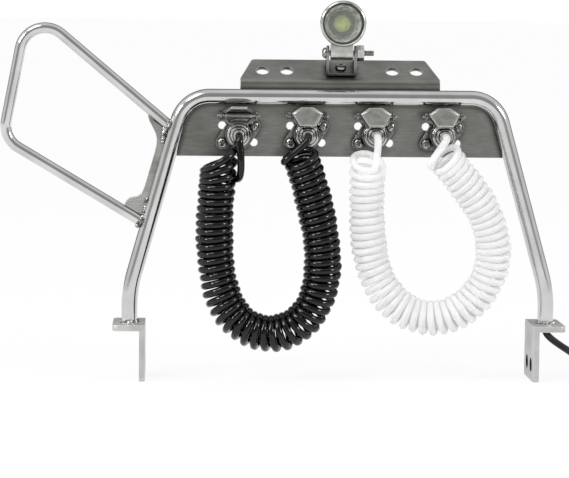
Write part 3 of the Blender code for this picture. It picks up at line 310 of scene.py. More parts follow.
def ledResin():
    # phosphor under clear epoxy: pale yellow-green, deeper in patches
    sets = {"Subsurface Weight": 0.3, "Subsurface Radius": (0.6 * mm, 0.6 * mm, 0.3 * mm),
            "Subsurface Scale": 1.0, "IOR": 1.5, "Coat Weight": 0.5}
    made, tree = startMaterial("ledResin", sets)
    phosphor = grain(tree, 0.6)
    surfaced(tree, toned(tree, phosphor, "#DCE47E", "#AEBC52"), [(phosphor, 0.15, 0.3)])
    return made


def blackPolyurethane():
    # extruded polyurethane hose: black and glossy with a little dust
    made, tree = startMaterial("blackPolyurethane", {"IOR": 1.5, "Specular IOR Level": 0.42})
    dust = grain(tree, 0.9, 4.0)
    tone = toned(tree, dust, "#030303", "#0C0C0C", (0.5, 0.8))
    surfaced(tree, tone, [(dust, 0.08, 0.15)], (dust, 0.01, 0.2))
    return made


def clearPolyurethane():
    # unpigmented polyurethane hose: milky white, and thin enough for light to pass through each turn
    sets = {"Subsurface Weight": 0.35, "Subsurface Radius": (0.8 * mm, 0.8 * mm, 0.8 * mm),
            "Subsurface Scale": 1.0, "IOR": 1.4, "Specular IOR Level": 0.3, "Alpha": 0.6}
    made, tree = startMaterial("clearPolyurethane", sets)
    milk = grain(tree, 1.2)
    surfaced(tree, toned(tree, milk, "#FAFAFA", "#F1F1F1"), [(milk, 0.24, 0.36)])
    return made


def cableVinyl():
    # black PVC cable sheath: satin, with a faint extruded wave
    made, tree = startMaterial("blackVinylSheath", {"IOR": 1.52})
    wave = grain(tree, 1.5)
    surfaced(tree, toned(tree, wave, "#141414", "#222221"), [(wave, 0.35, 0.5)], (wave, 0.02, 0.2))
    return made


def mouldedNylon():
    # black moulded nylon: matte, spark-eroded texture, edges lightened slightly, partly wear and partly
    # painted sheen
    made, tree = startMaterial("blackMouldedNylon", {"IOR": 1.53})
    skin = grain(tree, 0.2)
    # edges lightened slightly: partly wear, partly painted sheen
    surfaced(tree, wornAndHighlitEdges(tree, "#161617", 0.15, "#2B2B2C"), [(skin, 0.4, 0.58)], (skin, 0.02, 0.35))
    return made


def weldMetal():
    # unpolished weld: rippled and speckled, bright metal with dark scale
    made, tree = startMaterial("weldMetal", metal)
    stain = grain(tree, 0.6, 4.0)
    tone = toned(tree, stain, "#D4D4D2", "#4A4A49", (0.4, 0.6))
    surfaced(tree, tone, [(stain, 0.2, 0.45)], (stain, 0.08, 0.6))
    return made


# shape helpers
shapeSet = {
    "smoothUnder": 35.0,  # degrees, up to which an edge is shaded smooth
    "sameFacet": 1.0,
    "chamferOver": 28.0,
    "merge": 0.001,
    "cadMerge": 0.002,
    "near": 0.01,
    "edgeSteps": 2,
    "bendSteps": 18,
    "splineSteps": 40,
    "cordRoundness": 4,
    "broadside": 0.9,  # a normal's share along an axis, above which a face looks that way
    "sideOn": 0.5,  # and below which it is the wall of a hole along that axis
}
# points round a circle, after the kind of piece that each number was chosen for
facets = {"wire": 20, "pin": 24, "screw": 28, "bolt": 32, "rod": 40, "tube": 48, "barrel": 64, "shell": 96,
          "bezel": 128, "plug": 144}


def finishedPiece(name, data, finish, body, nodes=()):
    data.name = name
    data.materials.clear()
    data.materials.append(finish)
    piece = newObject(name, data)
    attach(piece, body)
    if nodes:
        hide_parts(*nodes)
    return piece


def meshOf(shape, name):
    mesh = bpy.data.meshes.new(name)
    shape.to_mesh(mesh)
    shape.free()
    return mesh


def smoothed(mesh, angle):
    mesh.shade_smooth()
    mesh.set_sharp_from_angle(angle=math.radians(angle))
    return mesh


def makePiece(name, shape, finish, body, nodes=()):
    mesh = smoothed(meshOf(shape, name), shapeSet["smoothUnder"])
    return finishedPiece(name, mesh, finish, body, nodes)


def joined(shapes):
    whole = bmesh.new()
    for shape in shapes:
        part = meshOf(shape, "part")
        whole.from_mesh(part)
        bpy.data.meshes.remove(part)
    return whole


def outward(shape):
    bmesh.ops.recalc_face_normals(shape, faces=shape.faces[:])
    return shape


def bridge(shape, here, there):  # faces between two rings, where a ring of one point is a pole
    count = max(len(here), len(there))
    for step in range(count if count > 1 else 0):
        after = (step + 1) % count
        if len(here) == 1:
            shape.faces.new((here[0], there[step], there[after]))
        elif len(there) == 1:
            shape.faces.new((here[step], here[after], there[0]))
        else:
            shape.faces.new((here[step], here[after], there[after], there[step]))


def squareTo(way):  # two directions square to this one and to each other
    side = way.orthogonal().normalized()
    return side, way.cross(side)


def circle(middle, side, other, radius, count, flutes=0, fluteDepth=0.0):  # radius in mm
    points = []
    for step in range(count):
        turn = 2 * math.pi * step / count
        reach = radius - fluteDepth * (0.5 - 0.5 * math.cos(flutes * turn))
        points.append(middle + (side * math.cos(turn) + other * math.sin(turn)) * reach * mm)
    return points


def bent(points, radii):  # rounds the inner corners of a flat path
    steps = shapeSet["bendSteps"]
    path = [Vector(points[0])]
    for before, here, after, radius in zip(points, points[1:], points[2:], radii):
        corner = Vector(here)
        toLast = (Vector(before) - corner).normalized()
        toNext = (Vector(after) - corner).normalized()
        half = toLast.angle(toNext) / 2
        middle = corner + (toLast + toNext).normalized() * (radius / math.sin(half))
        start = corner + toLast * (radius / math.tan(half)) - middle
        end = corner + toNext * (radius / math.tan(half)) - middle
        sweep = start.angle(end)
        for step in range(steps + 1):
            share = step / steps
            arc = start * math.sin((1 - share) * sweep) + end * math.sin(share * sweep)
            path.append(middle + arc / math.sin(sweep))
    path.append(Vector(points[-1]))
    return path


def sweptTube(path, radius, bore=0.0, sides=facets["tube"]):  # path in mm across and up, in the hoop's plane
    shape = bmesh.new()
    back = Vector((0.0, 1.0, 0.0))
    points = [at(x, 0.0, z) for x, z in path]
    walls = []
    for wall in [radius, bore] if bore else [radius]:
        rows = []
        for index, point in enumerate(points):
            way = (points[min(index + 1, len(points) - 1)] - points[max(index - 1, 0)]).normalized()
            rows.append([shape.verts.new(spot) for spot in circle(point, way.cross(back), back, wall, sides)])
        for here, there in zip(rows, rows[1:]):
            bridge(shape, here, there)
        walls.append(rows)
    for end in (0, -1):
        if bore:
            bridge(shape, walls[0][end], walls[1][end])
        else:
            shape.faces.new(walls[0][end])
    return outward(shape)


def turned(profile, middle, way, segments, flutes=0, fluteDepth=0.0):
    # turns points (radius, depth along way) round an axis, in mm; a third value marks a fluted ring
    shape = bmesh.new()
    way = Vector(way).normalized()
    rings = []
    for radius, depth, *fluted in profile:
        base = middle + way * depth * mm
        cut = fluteDepth if fluted else 0.0
        ring = circle(base, *squareTo(way), radius, segments, flutes, cut) if radius > 0.0 else [base]
        rings.append([shape.verts.new(point) for point in ring])
    for here, there in zip(rings, rings[1:]):
        bridge(shape, here, there)
    return outward(shape)


def rod(radius, start, end, middle, way, segments):
    return turned([(0.0, start), (radius, start), (radius, end), (0.0, end)], middle, way, segments)


def turnedRing(profile, middle, way, segments):  # a profile that closes on itself
    shape = turned(profile + profile[:1], middle, way, segments)
    bmesh.ops.remove_doubles(shape, verts=shape.verts[:], dist=shapeSet["merge"] * mm)
    return shape


def domed(radius, base, rise, steps):  # a quarter of an ellipse, from its edge almost to its crown
    turns = [math.pi / 2 * step / steps for step in range(steps)]
    return [(radius * math.cos(turn), base + rise * math.sin(turn)) for turn in turns]


def finishedMesh(piece):  # the mesh with its modifiers worked in
    bpy.context.view_layer.update()
    graph = bpy.context.evaluated_depsgraph_get()
    return bpy.data.meshes.new_from_object(piece.evaluated_get(graph))


def helper(shape, name="helper"):
    return newObject(name, meshOf(shape, name))


def ringPoints(radius, middle, count):
    turns = [2 * math.pi * step / count for step in range(count)]
    return [(middle[0] + radius * math.cos(turn), middle[1] + radius * math.sin(turn)) for turn in turns]


def prism(outline, toPlace, start, end):
    shape = bmesh.new()
    low, high = ([shape.verts.new(toPlace(a, b, depth)) for a, b in outline] for depth in (start, end))
    shape.faces.new(low)
    shape.faces.new(high)
    bridge(shape, low, high)
    return outward(shape)


def hullPrism(points, toPlace, start, end):
    shape = bmesh.new()
    for depth in (start, end):
        for a, b in points:
            shape.verts.new(toPlace(a, b, depth))
    found = bmesh.ops.convex_hull(shape, input=shape.verts[:])
    spare = {item for key in ("geom_interior", "geom_unused") for item in found[key]
             if isinstance(item, bmesh.types.BMVert)}
    bmesh.ops.delete(shape, geom=list(spare), context="VERTS")
    return outward(shape)


def carved(shape, joins=(), cuts=()):
    base = helper(shape)
    tools = []
    for way, others in (("UNION", joins), ("DIFFERENCE", cuts)):
        for other in others:
            tools.append(helper(other))
            change = base.modifiers.new(way, "BOOLEAN")
            change.operation = way
            change.solver = "EXACT"
            change.object = tools[-1]
    mesh = finishedMesh(base)
    for made in tools + [base]:
        bpy.data.objects.remove(made)
    result = bmesh.new()
    result.from_mesh(mesh)
    bpy.data.meshes.remove(mesh)
    return result


def brokenEdges(name, shape, nodes, finish, body, edge):
    # facets merged, and edges rounded as a file or a tumbler leaves them
    flat = math.radians(shapeSet["sameFacet"])
    bmesh.ops.dissolve_limit(shape, angle_limit=flat, verts=shape.verts[:], edges=shape.edges[:])
    rough = meshOf(shape, name + "Rough")
    rough.shade_smooth()
    draft = newObject(name + "Draft", rough)
    chamfer = draft.modifiers.new("brokenEdges", "BEVEL")
    chamfer.width = edge * mm
    chamfer.segments = shapeSet["edgeSteps"]
    chamfer.limit_method = "ANGLE"
    chamfer.angle_limit = math.radians(shapeSet["chamferOver"])
    normals = draft.modifiers.new("flatFaces", "WEIGHTED_NORMAL")
    normals.keep_sharp = True
    mesh = finishedMesh(draft)
    bpy.data.objects.remove(draft)
    return finishedPiece(name, mesh, finish, body, nodes)


def worked(name, nodeName, finish, body, edge):  # a copy of a CAD solid with its edges broken
    shape = bmesh.new()
    shape.from_mesh(frame["nodes"][nodeName].data)
    bmesh.ops.remove_doubles(shape, verts=shape.verts[:], dist=shapeSet["cadMerge"] * mm)
    return brokenEdges(name, shape, [nodeName], finish, body, edge)


def smoothRoute(route, spacing):  # evenly spaced points on a spline drawn by the route's points
    points = [Vector(point) for point in route]
    padded = [points[0] * 2 - points[1]] + points + [points[-1] * 2 - points[-2]]
    dense = []
    for before, start, end, after in zip(padded, padded[1:], padded[2:], padded[3:]):
        for step in range(shapeSet["splineSteps"]):
            share = step / shapeSet["splineSteps"]
            curve = before * (1 - share) ** 3 + start * (3 * share ** 3 - 6 * share ** 2 + 4)
            curve += end * (3 * (share + share ** 2 - share ** 3) + 1) + after * share ** 3
            dense.append(curve / 6)
    dense.append(points[-1])
    rows = np.array([tuple(point) for point in dense])
    reach = np.concatenate([[0.0], np.cumsum(np.linalg.norm(np.diff(rows, axis=0), axis=1))])
    count = max(2, round(reach[-1] / spacing))
    wanted = np.linspace(0.0, reach[-1], count + 1)
    return [Vector(point) for point in zip(*(np.interp(wanted, reach, rows[:, axis]) for axis in range(3)))]


def cordLength(points):
    return sum((there - here).length for here, there in zip(points, points[1:]))


def cordCurve(name, points, diameter):
    curve = bpy.data.curves.new(name, "CURVE")
    curve.dimensions = "3D"
    curve.bevel_depth = diameter / 2
    curve.bevel_resolution = shapeSet["cordRoundness"]
    curve.use_fill_caps = True
    spline = curve.splines.new("POLY")
    spline.points.add(len(points) - 1)
    for knot, point in zip(spline.points, points):
        knot.co = (*point, 1.0)
    spline.use_smooth = True
    return curve


# the sockets' places, used by hoses, plugs, screws and nuts
socketSet = {
    "pitch": 13.7,
    "height": 49.3,
    "plateFront": 1.7,
    "plate": 0.9,
    "glandFront": 7.4,
    "screwAcross": 3.2,
    "screwUp": 1.7,
    "flangeFront": 1.1,
}
socketPlaces = [(index - 1.5) * socketSet["pitch"] for index in range(4)]

# curly hoses
hoseSet = {
    "diameter": 1.45,
    "curlPoints": 16,
    "columnPitch": 1.44,
    "bottomPitch": 1.68,
    "bottomYaw": 0.45,
    "columnLean": 0.4,
    "bottomFrom": 13.0,
    "bottomTo": 27.0,
    "looseTurns": 3.6,
    "firstEase": 1.2,
    "lastEase": 1.5,
    "hang": -6.8,
    "wobble": 0.07,
    "wobbleWaves": [(1.9, 0.0), (0.7, 1.0)],
    "axisStep": 0.1,
    "axisSpan": 8,
    "glandGap": 0.1,
    "leadSag": 0.4,
    "leadHook": 0.9,
    "leadStep": 0.4,
}
blackSet = {
    "plugs": (0, 1),
    "coilRadius": 3.05,
    "axis": [(-24.4, 44.8), (-25.0, 38.0), (-25.5, 31.0), (-25.0, 22.6), (-23.3, 15.6), (-19.5, 11.1),
             (-14.0, 9.4), (-8.7, 11.1), (-5.0, 15.6), (-3.4, 22.4), (-4.1, 30.1), (-6.0, 38.0), (-7.2, 42.0),
             (-8.5, 45.6)],
    "loosePitch": 1.75,
    "startTurn": 0.5,
    "startTilt": (0.2, 2.1),
    "endTilt": (1.0, 0.0),
    "leadIn": [(-20.45, -8.6, 47.4), (-20.2, -9.1, 45.0), (-20.2, -9.0, 42.6), (-20.4, -7.6, 40.8),
               (-21.3, -5.6, 40.6), (-22.2, -3.8, 42.0), (-22.6, -3.1, 44.2), (-22.3, -3.7, 46.0)],
    "leadOut": [(-7.6, -8.7, 48.0), (-9.6, -9.0, 46.2), (-11.9, -8.9, 44.2)],
}
whiteSet = {
    "plugs": (2, 3),
    "coilRadius": 2.85,
    "axis": [(5.0, 45.0), (4.9, 38.0), (5.0, 29.0), (6.8, 20.6), (11.6, 14.6), (18.4, 12.4), (25.4, 14.9),
             (30.0, 21.4), (30.8, 28.0), (28.6, 34.6), (25.2, 39.4), (22.2, 42.8), (20.2, 45.6)],
    "loosePitch": 2.3,
    "startTurn": 0.75,
    "startTilt": (2.2, 0.0),
    "endTilt": (1.3, 0.3),
    "leadIn": [(6.85, -8.6, 47.4), (6.6, -9.1, 45.4), (6.3, -9.5, 43.6)],
    "leadOut": [(19.8, -8.7, 48.0), (18.4, -9.0, 46.0), (16.9, -8.9, 43.9)],
}


def curlyHose(name, sizes, finish, nodeName):
    diameter = hoseSet["diameter"] * mm
    axisStep, span, looseTurns = hoseSet["axisStep"], hoseSet["axisSpan"], hoseSet["looseTurns"]
    axis = smoothRoute([at(x, hoseSet["hang"], z) for x, z in sizes["axis"]], axisStep * mm)
    heights = np.array([point.z / mm for point in axis])
    bottomFrom, bottomTo = hoseSet["bottomFrom"], hoseSet["bottomTo"]
    bottom = np.clip((bottomTo - heights) / (bottomTo - bottomFrom), 0.0, 1.0)
    pitch = hoseSet["columnPitch"] + (hoseSet["bottomPitch"] - hoseSet["columnPitch"]) * bottom
    loose = np.clip(1 - np.arange(len(axis)) * axisStep / (sizes["loosePitch"] * looseTurns), 0.0, 1.0)
    pitch += (sizes["loosePitch"] - pitch) * loose
    turns = np.concatenate([[0.0], np.cumsum(axisStep / pitch[1:])])
    turns *= (round(turns[-1]) + 0.5 - sizes["startTurn"]) / turns[-1]  # ends at the left of the last turn
    back = Vector((0.0, 1.0, 0.0))
    coil = []
    count = round(turns[-1] * hoseSet["curlPoints"])
    for made in np.linspace(0.0, turns[-1], count + 1):
        spot = float(np.interp(made, turns, np.arange(len(axis))))
        low = min(int(spot), len(axis) - 2)
        middle = axis[low].lerp(axis[low + 1], spot - low)
        way = (axis[min(low + span, len(axis) - 1)] - axis[max(low - span, 0)]).normalized()
        side = back.cross(way).normalized()
        turn = 2 * math.pi * (sizes["startTurn"] + float(made))
        # the first and last turns lean, as the leads pull on them, and no turn is quite like the next
        first = max(0.0, 1 - made / looseTurns) ** hoseSet["firstEase"]
        last = max(0.0, 1 - (turns[-1] - made) / looseTurns) ** hoseSet["lastEase"]
        leanBack, leanSide = (start * first + end * last
                              for start, end in zip(sizes["startTilt"], sizes["endTilt"]))
        leanBack += hoseSet["columnLean"] * (1 - float(bottom[low])) * (1 - first) * (1 - last)
        lift = leanBack * math.sin(turn) + leanSide * side.x * math.cos(turn)
        sway = hoseSet["wobble"] * sum(math.sin(rate * made + lag) for rate, lag in hoseSet["wobbleWaves"])
        reach = (sizes["coilRadius"] + sway) * mm
        yaw = way * hoseSet["bottomYaw"] * float(bottom[low]) * math.sin(turn) * mm
        ringPoint = middle + (side * math.cos(turn) + back * math.sin(turn)) * reach
        coil.append(ringPoint + yaw + Vector((0.0, 0.0, lift * mm)))
    leads = []
    gland = socketSet["plateFront"] - socketSet["glandFront"] - hoseSet["glandGap"]
    for plug, key, last, before in ((sizes["plugs"][0], "leadIn", coil[0], coil[1]),
                                    (sizes["plugs"][1], "leadOut", coil[-1], coil[-2])):
        start = at(socketPlaces[plug], gland, socketSet["height"])
        sag = Vector((0.0, 0.0, hoseSet["leadSag"] * mm))
        route = [start, start - back * diameter, start - back * 2 * diameter - sag]
        route += [at(*point) for point in sizes[key]]
        route += [last + (last - before).normalized() * hoseSet["leadHook"] * mm, last]
        leads.append(smoothRoute(route, hoseSet["leadStep"] * mm)[:-1])
    points = leads[0] + coil + leads[1][::-1]
    piece = finishedPiece(name, cordCurve(name, points, diameter), finish, "rack", [nodeName])
    print(name, "turns", round(float(turns[-1]), 2), "length", round(cordLength(points) / mm), "mm")


# the lamp's lead: out of the right leg, down to a coil with a tie, and a small plug
leadSet = {
    "diameter": 1.4,
    "coilRadius": 9.2,
    "coilStep": 1.9,
    "layerTurns": 2,
    "climbTurns": 0.5,
    "coilMiddle": (59.6, 0.0),
    "legAcross": 42.2,
    "exitHeight": 10.1,
    "loopPoints": 32,
    "step": 0.6,
    "overFloor": 0.05,
    "fromLeg": [(0.0, 0.0, 0.0), (0.2, 0.0, -1.0), (1.8, -0.3, -2.4), (4.0, -1.2, -3.8), (6.6, -3.0, -5.4)],
    "toCoil": [(-7.5, 1.6, 1.2), (-3.6, 0.2, 0.1)],
    "offCoil": (4.0, 0.4, -0.9),
    "toPlug": [(7.0, 1.6, 0.2), (9.6, 3.6, 0.0)],  # the last is the height over the plug's middle
    "plugLength": 6.0,
    "plugWidth": 3.0,
    "plugEdge": 0.2,
    "tieEdge": 0.1,
    "boot": [(0.75, -0.6), (0.85, -0.5), (1.15, 0.0), (1.25, 0.2), (0.0, 0.2)],
    "sleeve": [(0.2, 2.0), (0.32, 2.0), (0.32, 0.1), (0.2, 0.1)],
    "sleeveSunk": 2.2,
}


def lampLead(cable, nylon, steel):
    diameter, layers, step = leadSet["diameter"], leadSet["layerTurns"], leadSet["step"] * mm
    rest = diameter / 2 + leadSet["overFloor"]
    middleX, middleY = leadSet["coilMiddle"]
    coil = []
    for index in range(2 * layers * leadSet["loopPoints"] + 1):
        turns = index / leadSet["loopPoints"]
        inward = min(turns, 2 * layers - turns)
        climb = min(max((turns - layers) / leadSet["climbTurns"] + 0.5, 0.0), 1.0)
        reach = leadSet["coilRadius"] - leadSet["coilStep"] * inward
        turn = 1.5 * math.pi + 2 * math.pi * turns
        coil.append(at(middleX + reach * math.cos(turn), middleY + reach * math.sin(turn),
                       rest + leadSet["coilStep"] * climb))
    start = at(leadSet["legAcross"], 0.0, leadSet["exitHeight"])
    first, last = coil[0], coil[-1]
    route = [start + Vector(drop) * mm for drop in leadSet["fromLeg"]]
    route += [first + Vector(drop) * mm for drop in leadSet["toCoil"]]
    route += [first - (coil[1] - first).normalized() * diameter * mm, first]
    out = smoothRoute(route, step)
    half = leadSet["plugWidth"] / 2
    route = [last, last + (last - coil[-2]).normalized() * diameter * mm]
    route.append(last + Vector(leadSet["offCoil"]) * mm)
    for x, y, over in leadSet["toPlug"]:
        route.append(Vector((last.x + x * mm, last.y + y * mm, (half + over) * mm)))
    tail = smoothRoute(route, step)
    points = out[:-1] + coil + tail[1:]
    lead = finishedPiece("lampLead", cordCurve("lampLead", points, diameter * mm), cable, "rack",
                         ["lamp_lead", "lead_coil", "lead_tail"])

    # plug: a tapered boot, a body and two sleeves
    heading = (tail[-1] - tail[-2]).normalized()
    heading.z = 0.0
    heading.normalize()
    plug = worked("leadPlugBody", "lead_plug", nylon, "rack", leadSet["plugEdge"])
    boot = turned(leadSet["boot"], tail[-1], heading, facets["bolt"])
    bootPiece = makePiece("leadPlugBoot", boot, nylon, "rack")
    across = Vector((-heading.y, heading.x, 0.0))
    face = tail[-1] + heading * (leadSet["plugLength"] - leadSet["sleeveSunk"]) * mm
    sleeves = []
    for side in (-1, 1):
        middle = face + across * side * half / 2 * mm
        sleeves.append(turnedRing(leadSet["sleeve"], middle, heading, facets["wire"]))
    sleevePiece = makePiece("leadPlugSleeves", joined(sleeves), steel, "rack")
    tie = worked("leadTie", "lead_tie", nylon, "rack", leadSet["tieEdge"])
    print("lamp lead", round(cordLength(points) / mm), "mm")


# hoop, handle, welds and feet
hoopSet = {
    "tube": 1.6,
    "bore": 1.0,
    "topHalf": 31.2,
    "height": 56.8,
    "corner": 6.5,
    "legHalf": 42.2,
    "legBend": 17.9,
    "legRadius": 25.0,
    "footTop": 11.5,
}
handleSet = {
    "rod": 1.1,
    "top": (-62.4, 74.5),
    "low": (-67.5, 48.2),
    "corner": 5.0,
    "upperHeight": 49.9,
    "lowerHeight": 30.9,
    "intoTube": 0.25,
}
weldSet = {
    "legBead": 0.36,
    "legClear": 0.05,
    "rodBead": 0.42,
    "rodClear": 0.02,
    "rodShift": 0.4,
    "seamBead": 0.4,
    "seamStep": 0.08,
    "seams": [[(-35.2, 50.6), (-35.5, 49.0), (-35.8, 47.4)], [(-38.6, 36.6), (-39.0, 34.8), (-39.5, 33.0)]],
    "corners": 10,
    "ringPoints": 132,
    "rippleLength": 0.5,
    "ripple": 0.2,
    "wander": 0.14,
    "wanderRate": 1.3,
    "endLeast": 0.05,
}
gussetSet = {
    "sheet": 1.0,
    "edge": 0.1,
    "outline": [(-38.7, 53.0), (-38.3, 51.8), (-37.6, 50.5), (-37.05, 49.3), (-36.85, 48.3), (-36.9, 47.2),
                (-37.3, 45.4), (-38.1, 42.6), (-38.95, 39.7), (-39.5, 38.1), (-39.95, 37.3), (-40.7, 36.75),
                (-41.6, 36.6), (-42.3, 36.4), (-42.9, 35.9), (-43.2, 35.2), (-43.0, 34.8), (-39.3, 32.6),
                (-34.5, 49.8)],
}
footSet = {
    "inside": 39.0,
    "outside": 45.5,
    "sheet": 1.2,
    "height": 11.4,
    "half": 6.0,
    "plateCorner": 0.9,
    "tabCorner": 1.2,
    "cornerSteps": 6,
    "edge": 0.12,
    "hole": 1.4,
    "holeAcross": 2.5,
    "holeUp": 3.2,
    "holeRim": 0.03,
    "leadHole": 1.0,
}


def legPoint(height):  # on the left leg's axis
    share = (hoopSet["height"] - height) / (hoopSet["height"] - hoopSet["legBend"])
    return Vector((-hoopSet["topHalf"] - (hoopSet["legHalf"] - hoopSet["topHalf"]) * share, height))


def makeHoop(steel):
    leg, top, foot = hoopSet["legHalf"], hoopSet["topHalf"], hoopSet["footTop"]
    corners = [(-leg, foot), (-leg, hoopSet["legBend"]), (-top, hoopSet["height"]), (top, hoopSet["height"]),
               (leg, hoopSet["legBend"]), (leg, foot)]
    radii = [hoopSet["legRadius"], hoopSet["corner"], hoopSet["corner"], hoopSet["legRadius"]]
    tube = sweptTube(bent(corners, radii), hoopSet["tube"], hoopSet["bore"])
    makePiece("hoopTube", tube, steel, "rack", ["hoop_tube"])


def handleEnds():  # where the rod meets the leg's surface, above and below, and its way out from there
    legWay = (legPoint(0.0) - legPoint(10.0)).normalized()
    ends = []
    for height, toward in (("upperHeight", "top"), ("lowerHeight", "low")):
        axisPoint = legPoint(handleSet[height])
        way = (Vector(handleSet[toward]) - axisPoint).normalized()
        lean = abs(way.x * legWay.y - way.y * legWay.x)
        ends.append((axisPoint + way * ((hoopSet["tube"] - handleSet["intoTube"]) / lean), way))
    return ends


def makeHandle(steel):
    upper, lower = (end for end, way in handleEnds())
    path = bent([upper, handleSet["top"], handleSet["low"], lower], [handleSet["corner"]] * 2)
    bar = sweptTube(path, handleSet["rod"], sides=facets["rod"])
    makePiece("sideHandle", bar, steel, "rack", ["side_handle"])


def weldBead(path, bead, closed):  # a rippled bead along a path
    shape = bmesh.new()
    count = len(path)
    rows, run = [], 0.0
    for step, point in enumerate(path):
        before = path[step - 1] if closed or step else point
        after = path[(step + 1) % count] if closed or step < count - 1 else point
        run += (point - before).length / mm
        ripple = 1.0 + weldSet["ripple"] * math.cos(2 * math.pi * run / weldSet["rippleLength"])
        ripple += weldSet["wander"] * math.sin(weldSet["wanderRate"] * run + 1.0)
        if not closed:
            ripple *= math.sqrt(max(weldSet["endLeast"], 1 - (2 * step / (count - 1) - 1) ** 4))
        ring = circle(point, *squareTo((after - before).normalized()), bead * ripple, weldSet["corners"])
        rows.append([shape.verts.new(spot) for spot in ring])
    for here, there in zip(rows, rows[1:] + rows[:1] if closed else rows[1:]):
        bridge(shape, here, there)
    if not closed:
        shape.faces.new(rows[0])
        shape.faces.new(rows[-1])
    return outward(shape)


def makeWelds(weld):
    rings = []
    for side in (-1, 1):
        foot = at(side * hoopSet["legHalf"], 0.0, hoopSet["footTop"])
        rings.append((foot, Vector((0.0, 0.0, 1.0)), hoopSet["tube"] + weldSet["legClear"], "legBead"))
    for end, way in handleEnds():
        spot = end + way * weldSet["rodShift"]
        rings.append((at(spot.x, 0.0, spot.y), Vector((way.x, 0.0, way.y)).normalized(),
                      handleSet["rod"] + weldSet["rodClear"], "rodBead"))
    beads = [weldBead(circle(middle, *squareTo(way), radius, weldSet["ringPoints"]), weldSet[bead], True)
             for middle, way, radius, bead in rings]
    for seam in weldSet["seams"]:
        for face in (-1, 1):
            route = [at(x, face * gussetSet["sheet"] / 2, z) for x, z in seam]
            beads.append(weldBead(smoothRoute(route, weldSet["seamStep"] * mm), weldSet["seamBead"], False))
    makePiece("weldBeads", joined(beads), weld, "rack")


def makeGusset(steel):
    def upright(a, b, depth):
        return at(a, depth, b)

    half = gussetSet["sheet"] / 2
    brokenEdges("handleGusset", prism(gussetSet["outline"], upright, -half, half), ["handle_bracket"], steel,
                "rack", gussetSet["edge"])


def edgesAt(shape, axis, level):  # edges in a plane, apart from those along the foot's depth
    near = shapeSet["near"] * mm
    return [edge for edge in shape.edges if all(abs(vertex.co[axis] - level) < near for vertex in edge.verts)
            and abs(edge.verts[0].co.y - edge.verts[1].co.y) < near]


def makeFeet(steel, holeShade):
    inside, outside, sheet = footSet["inside"], footSet["outside"], footSet["sheet"]
    top, half, hole = footSet["height"], footSet["half"], footSet["hole"]
    outline = [(inside, 0.0), (inside + sheet, 0.0), (inside + sheet, top - sheet), (outside, top - sheet),
               (outside, top), (inside, top)]
    holes = [(end * footSet["holeAcross"], footSet["holeUp"]) for end in (-1, 1)]
    for name, side in (("left", -1), ("right", 1)):
        def upright(a, b, depth, side=side):
            return at(side * a, depth, b)

        shape = prism(outline, upright, -half, half)
        rim = at(side * outside, 0.0, 0.0).x
        for axis, level, corner in ((2, 0.0, "plateCorner"), (0, rim, "tabCorner")):
            bmesh.ops.bevel(shape, geom=edgesAt(shape, axis, level), offset=footSet[corner] * mm,
                            segments=footSet["cornerSteps"], profile=0.5, affect="EDGES")
        drills = []
        for y, z in holes:
            start = at(side * (inside - sheet), y, z)
            drills.append(rod(hole, 0.0, 3 * sheet, start, (side, 0, 0), facets["tube"]))
        if side > 0:
            start = at(hoopSet["legHalf"], 0.0, top + sheet)
            drills.append(rod(footSet["leadHole"], 0.0, 3 * sheet, start, (0, 0, -1), facets["rod"]))
        foot = brokenEdges(name + "Foot", carved(shape, cuts=drills), [name + "_foot_bracket"], steel,
                           "rack", footSet["edge"])
        # the hole walls get the dark finish, a painted shade for the inside of the holes
        foot.data.materials.append(holeShade)
        for face in foot.data.polygons:
            for y, z in holes:
                spot = at(0.0, y, z)
                away = math.hypot(face.center.y - spot.y, face.center.z - spot.z)
                sideOn = abs(face.normal.x) < shapeSet["sideOn"]
                if sideOn and away < (hole + footSet["holeRim"]) * mm:
                    face.material_index = 1


# plugs, pins, bodies and lids of the sockets
plugSet = {
    "profile": [
        (0.0, 1.3), (1.5, 1.3), (1.5, 4.0), (2.1, 4.0), (2.28, 4.08), (2.35, 4.2, 1), (2.35, 4.46, 1),
        (2.2, 4.54), (2.2, 4.86), (2.35, 4.94, 1), (2.35, 5.08, 1), (2.3, 5.14), (2.0, 5.46), (1.92, 5.46),
        (1.88, 5.2), (1.72, 5.2), (1.72, 5.9), (1.66, 5.98), (1.38, 6.28), (1.3, 6.28), (1.26, 6.0),
        (1.16, 6.0), (1.16, 7.1), (1.1, 7.2), (0.9, 7.4), (0.72, 7.4), (0.72, 7.1), (0.0, 7.1),
    ],
    "flutes": 36,
    "fluteDepth": 0.1,
}
pinSet = {"radius": 0.25, "half": 4.3, "forward": 4.5, "rise": 3.9, "chamfer": 0.06}
bodySet = {
    "flange": (0.1, 1.0),
    "hub": 3.1,
    "lug": 1.3,
    "barrel": 2.6,
    "barrelBack": 0.5,
    "barrelFront": 3.7,
    "bore": 1.8,
    "boreBack": 0.55,
    "drillEnd": 9.0,
    "fork": [(-1.9, 1.0), (1.9, 1.0), (1.95, 2.15), (2.4, 2.5), (3.85, 3.0), (3.85, 3.9), (3.35, 3.9),
             (2.3, 2.95), (1.9, 2.4), (-1.9, 2.4), (-2.3, 2.95), (-3.35, 3.9), (-3.85, 3.9), (-3.85, 3.0),
             (-2.4, 2.5), (-1.95, 2.15)],
    "forkDepth": (2.1, 3.6),
    "ears": (3.37, 3.83),
    "earFoot": [(2.2, 3.05), (3.5, 3.05)],
    "earRound": 0.8,
    "pinBore": 0.3,
    "pinDrill": 5.0,
    "edge": 0.1,
}
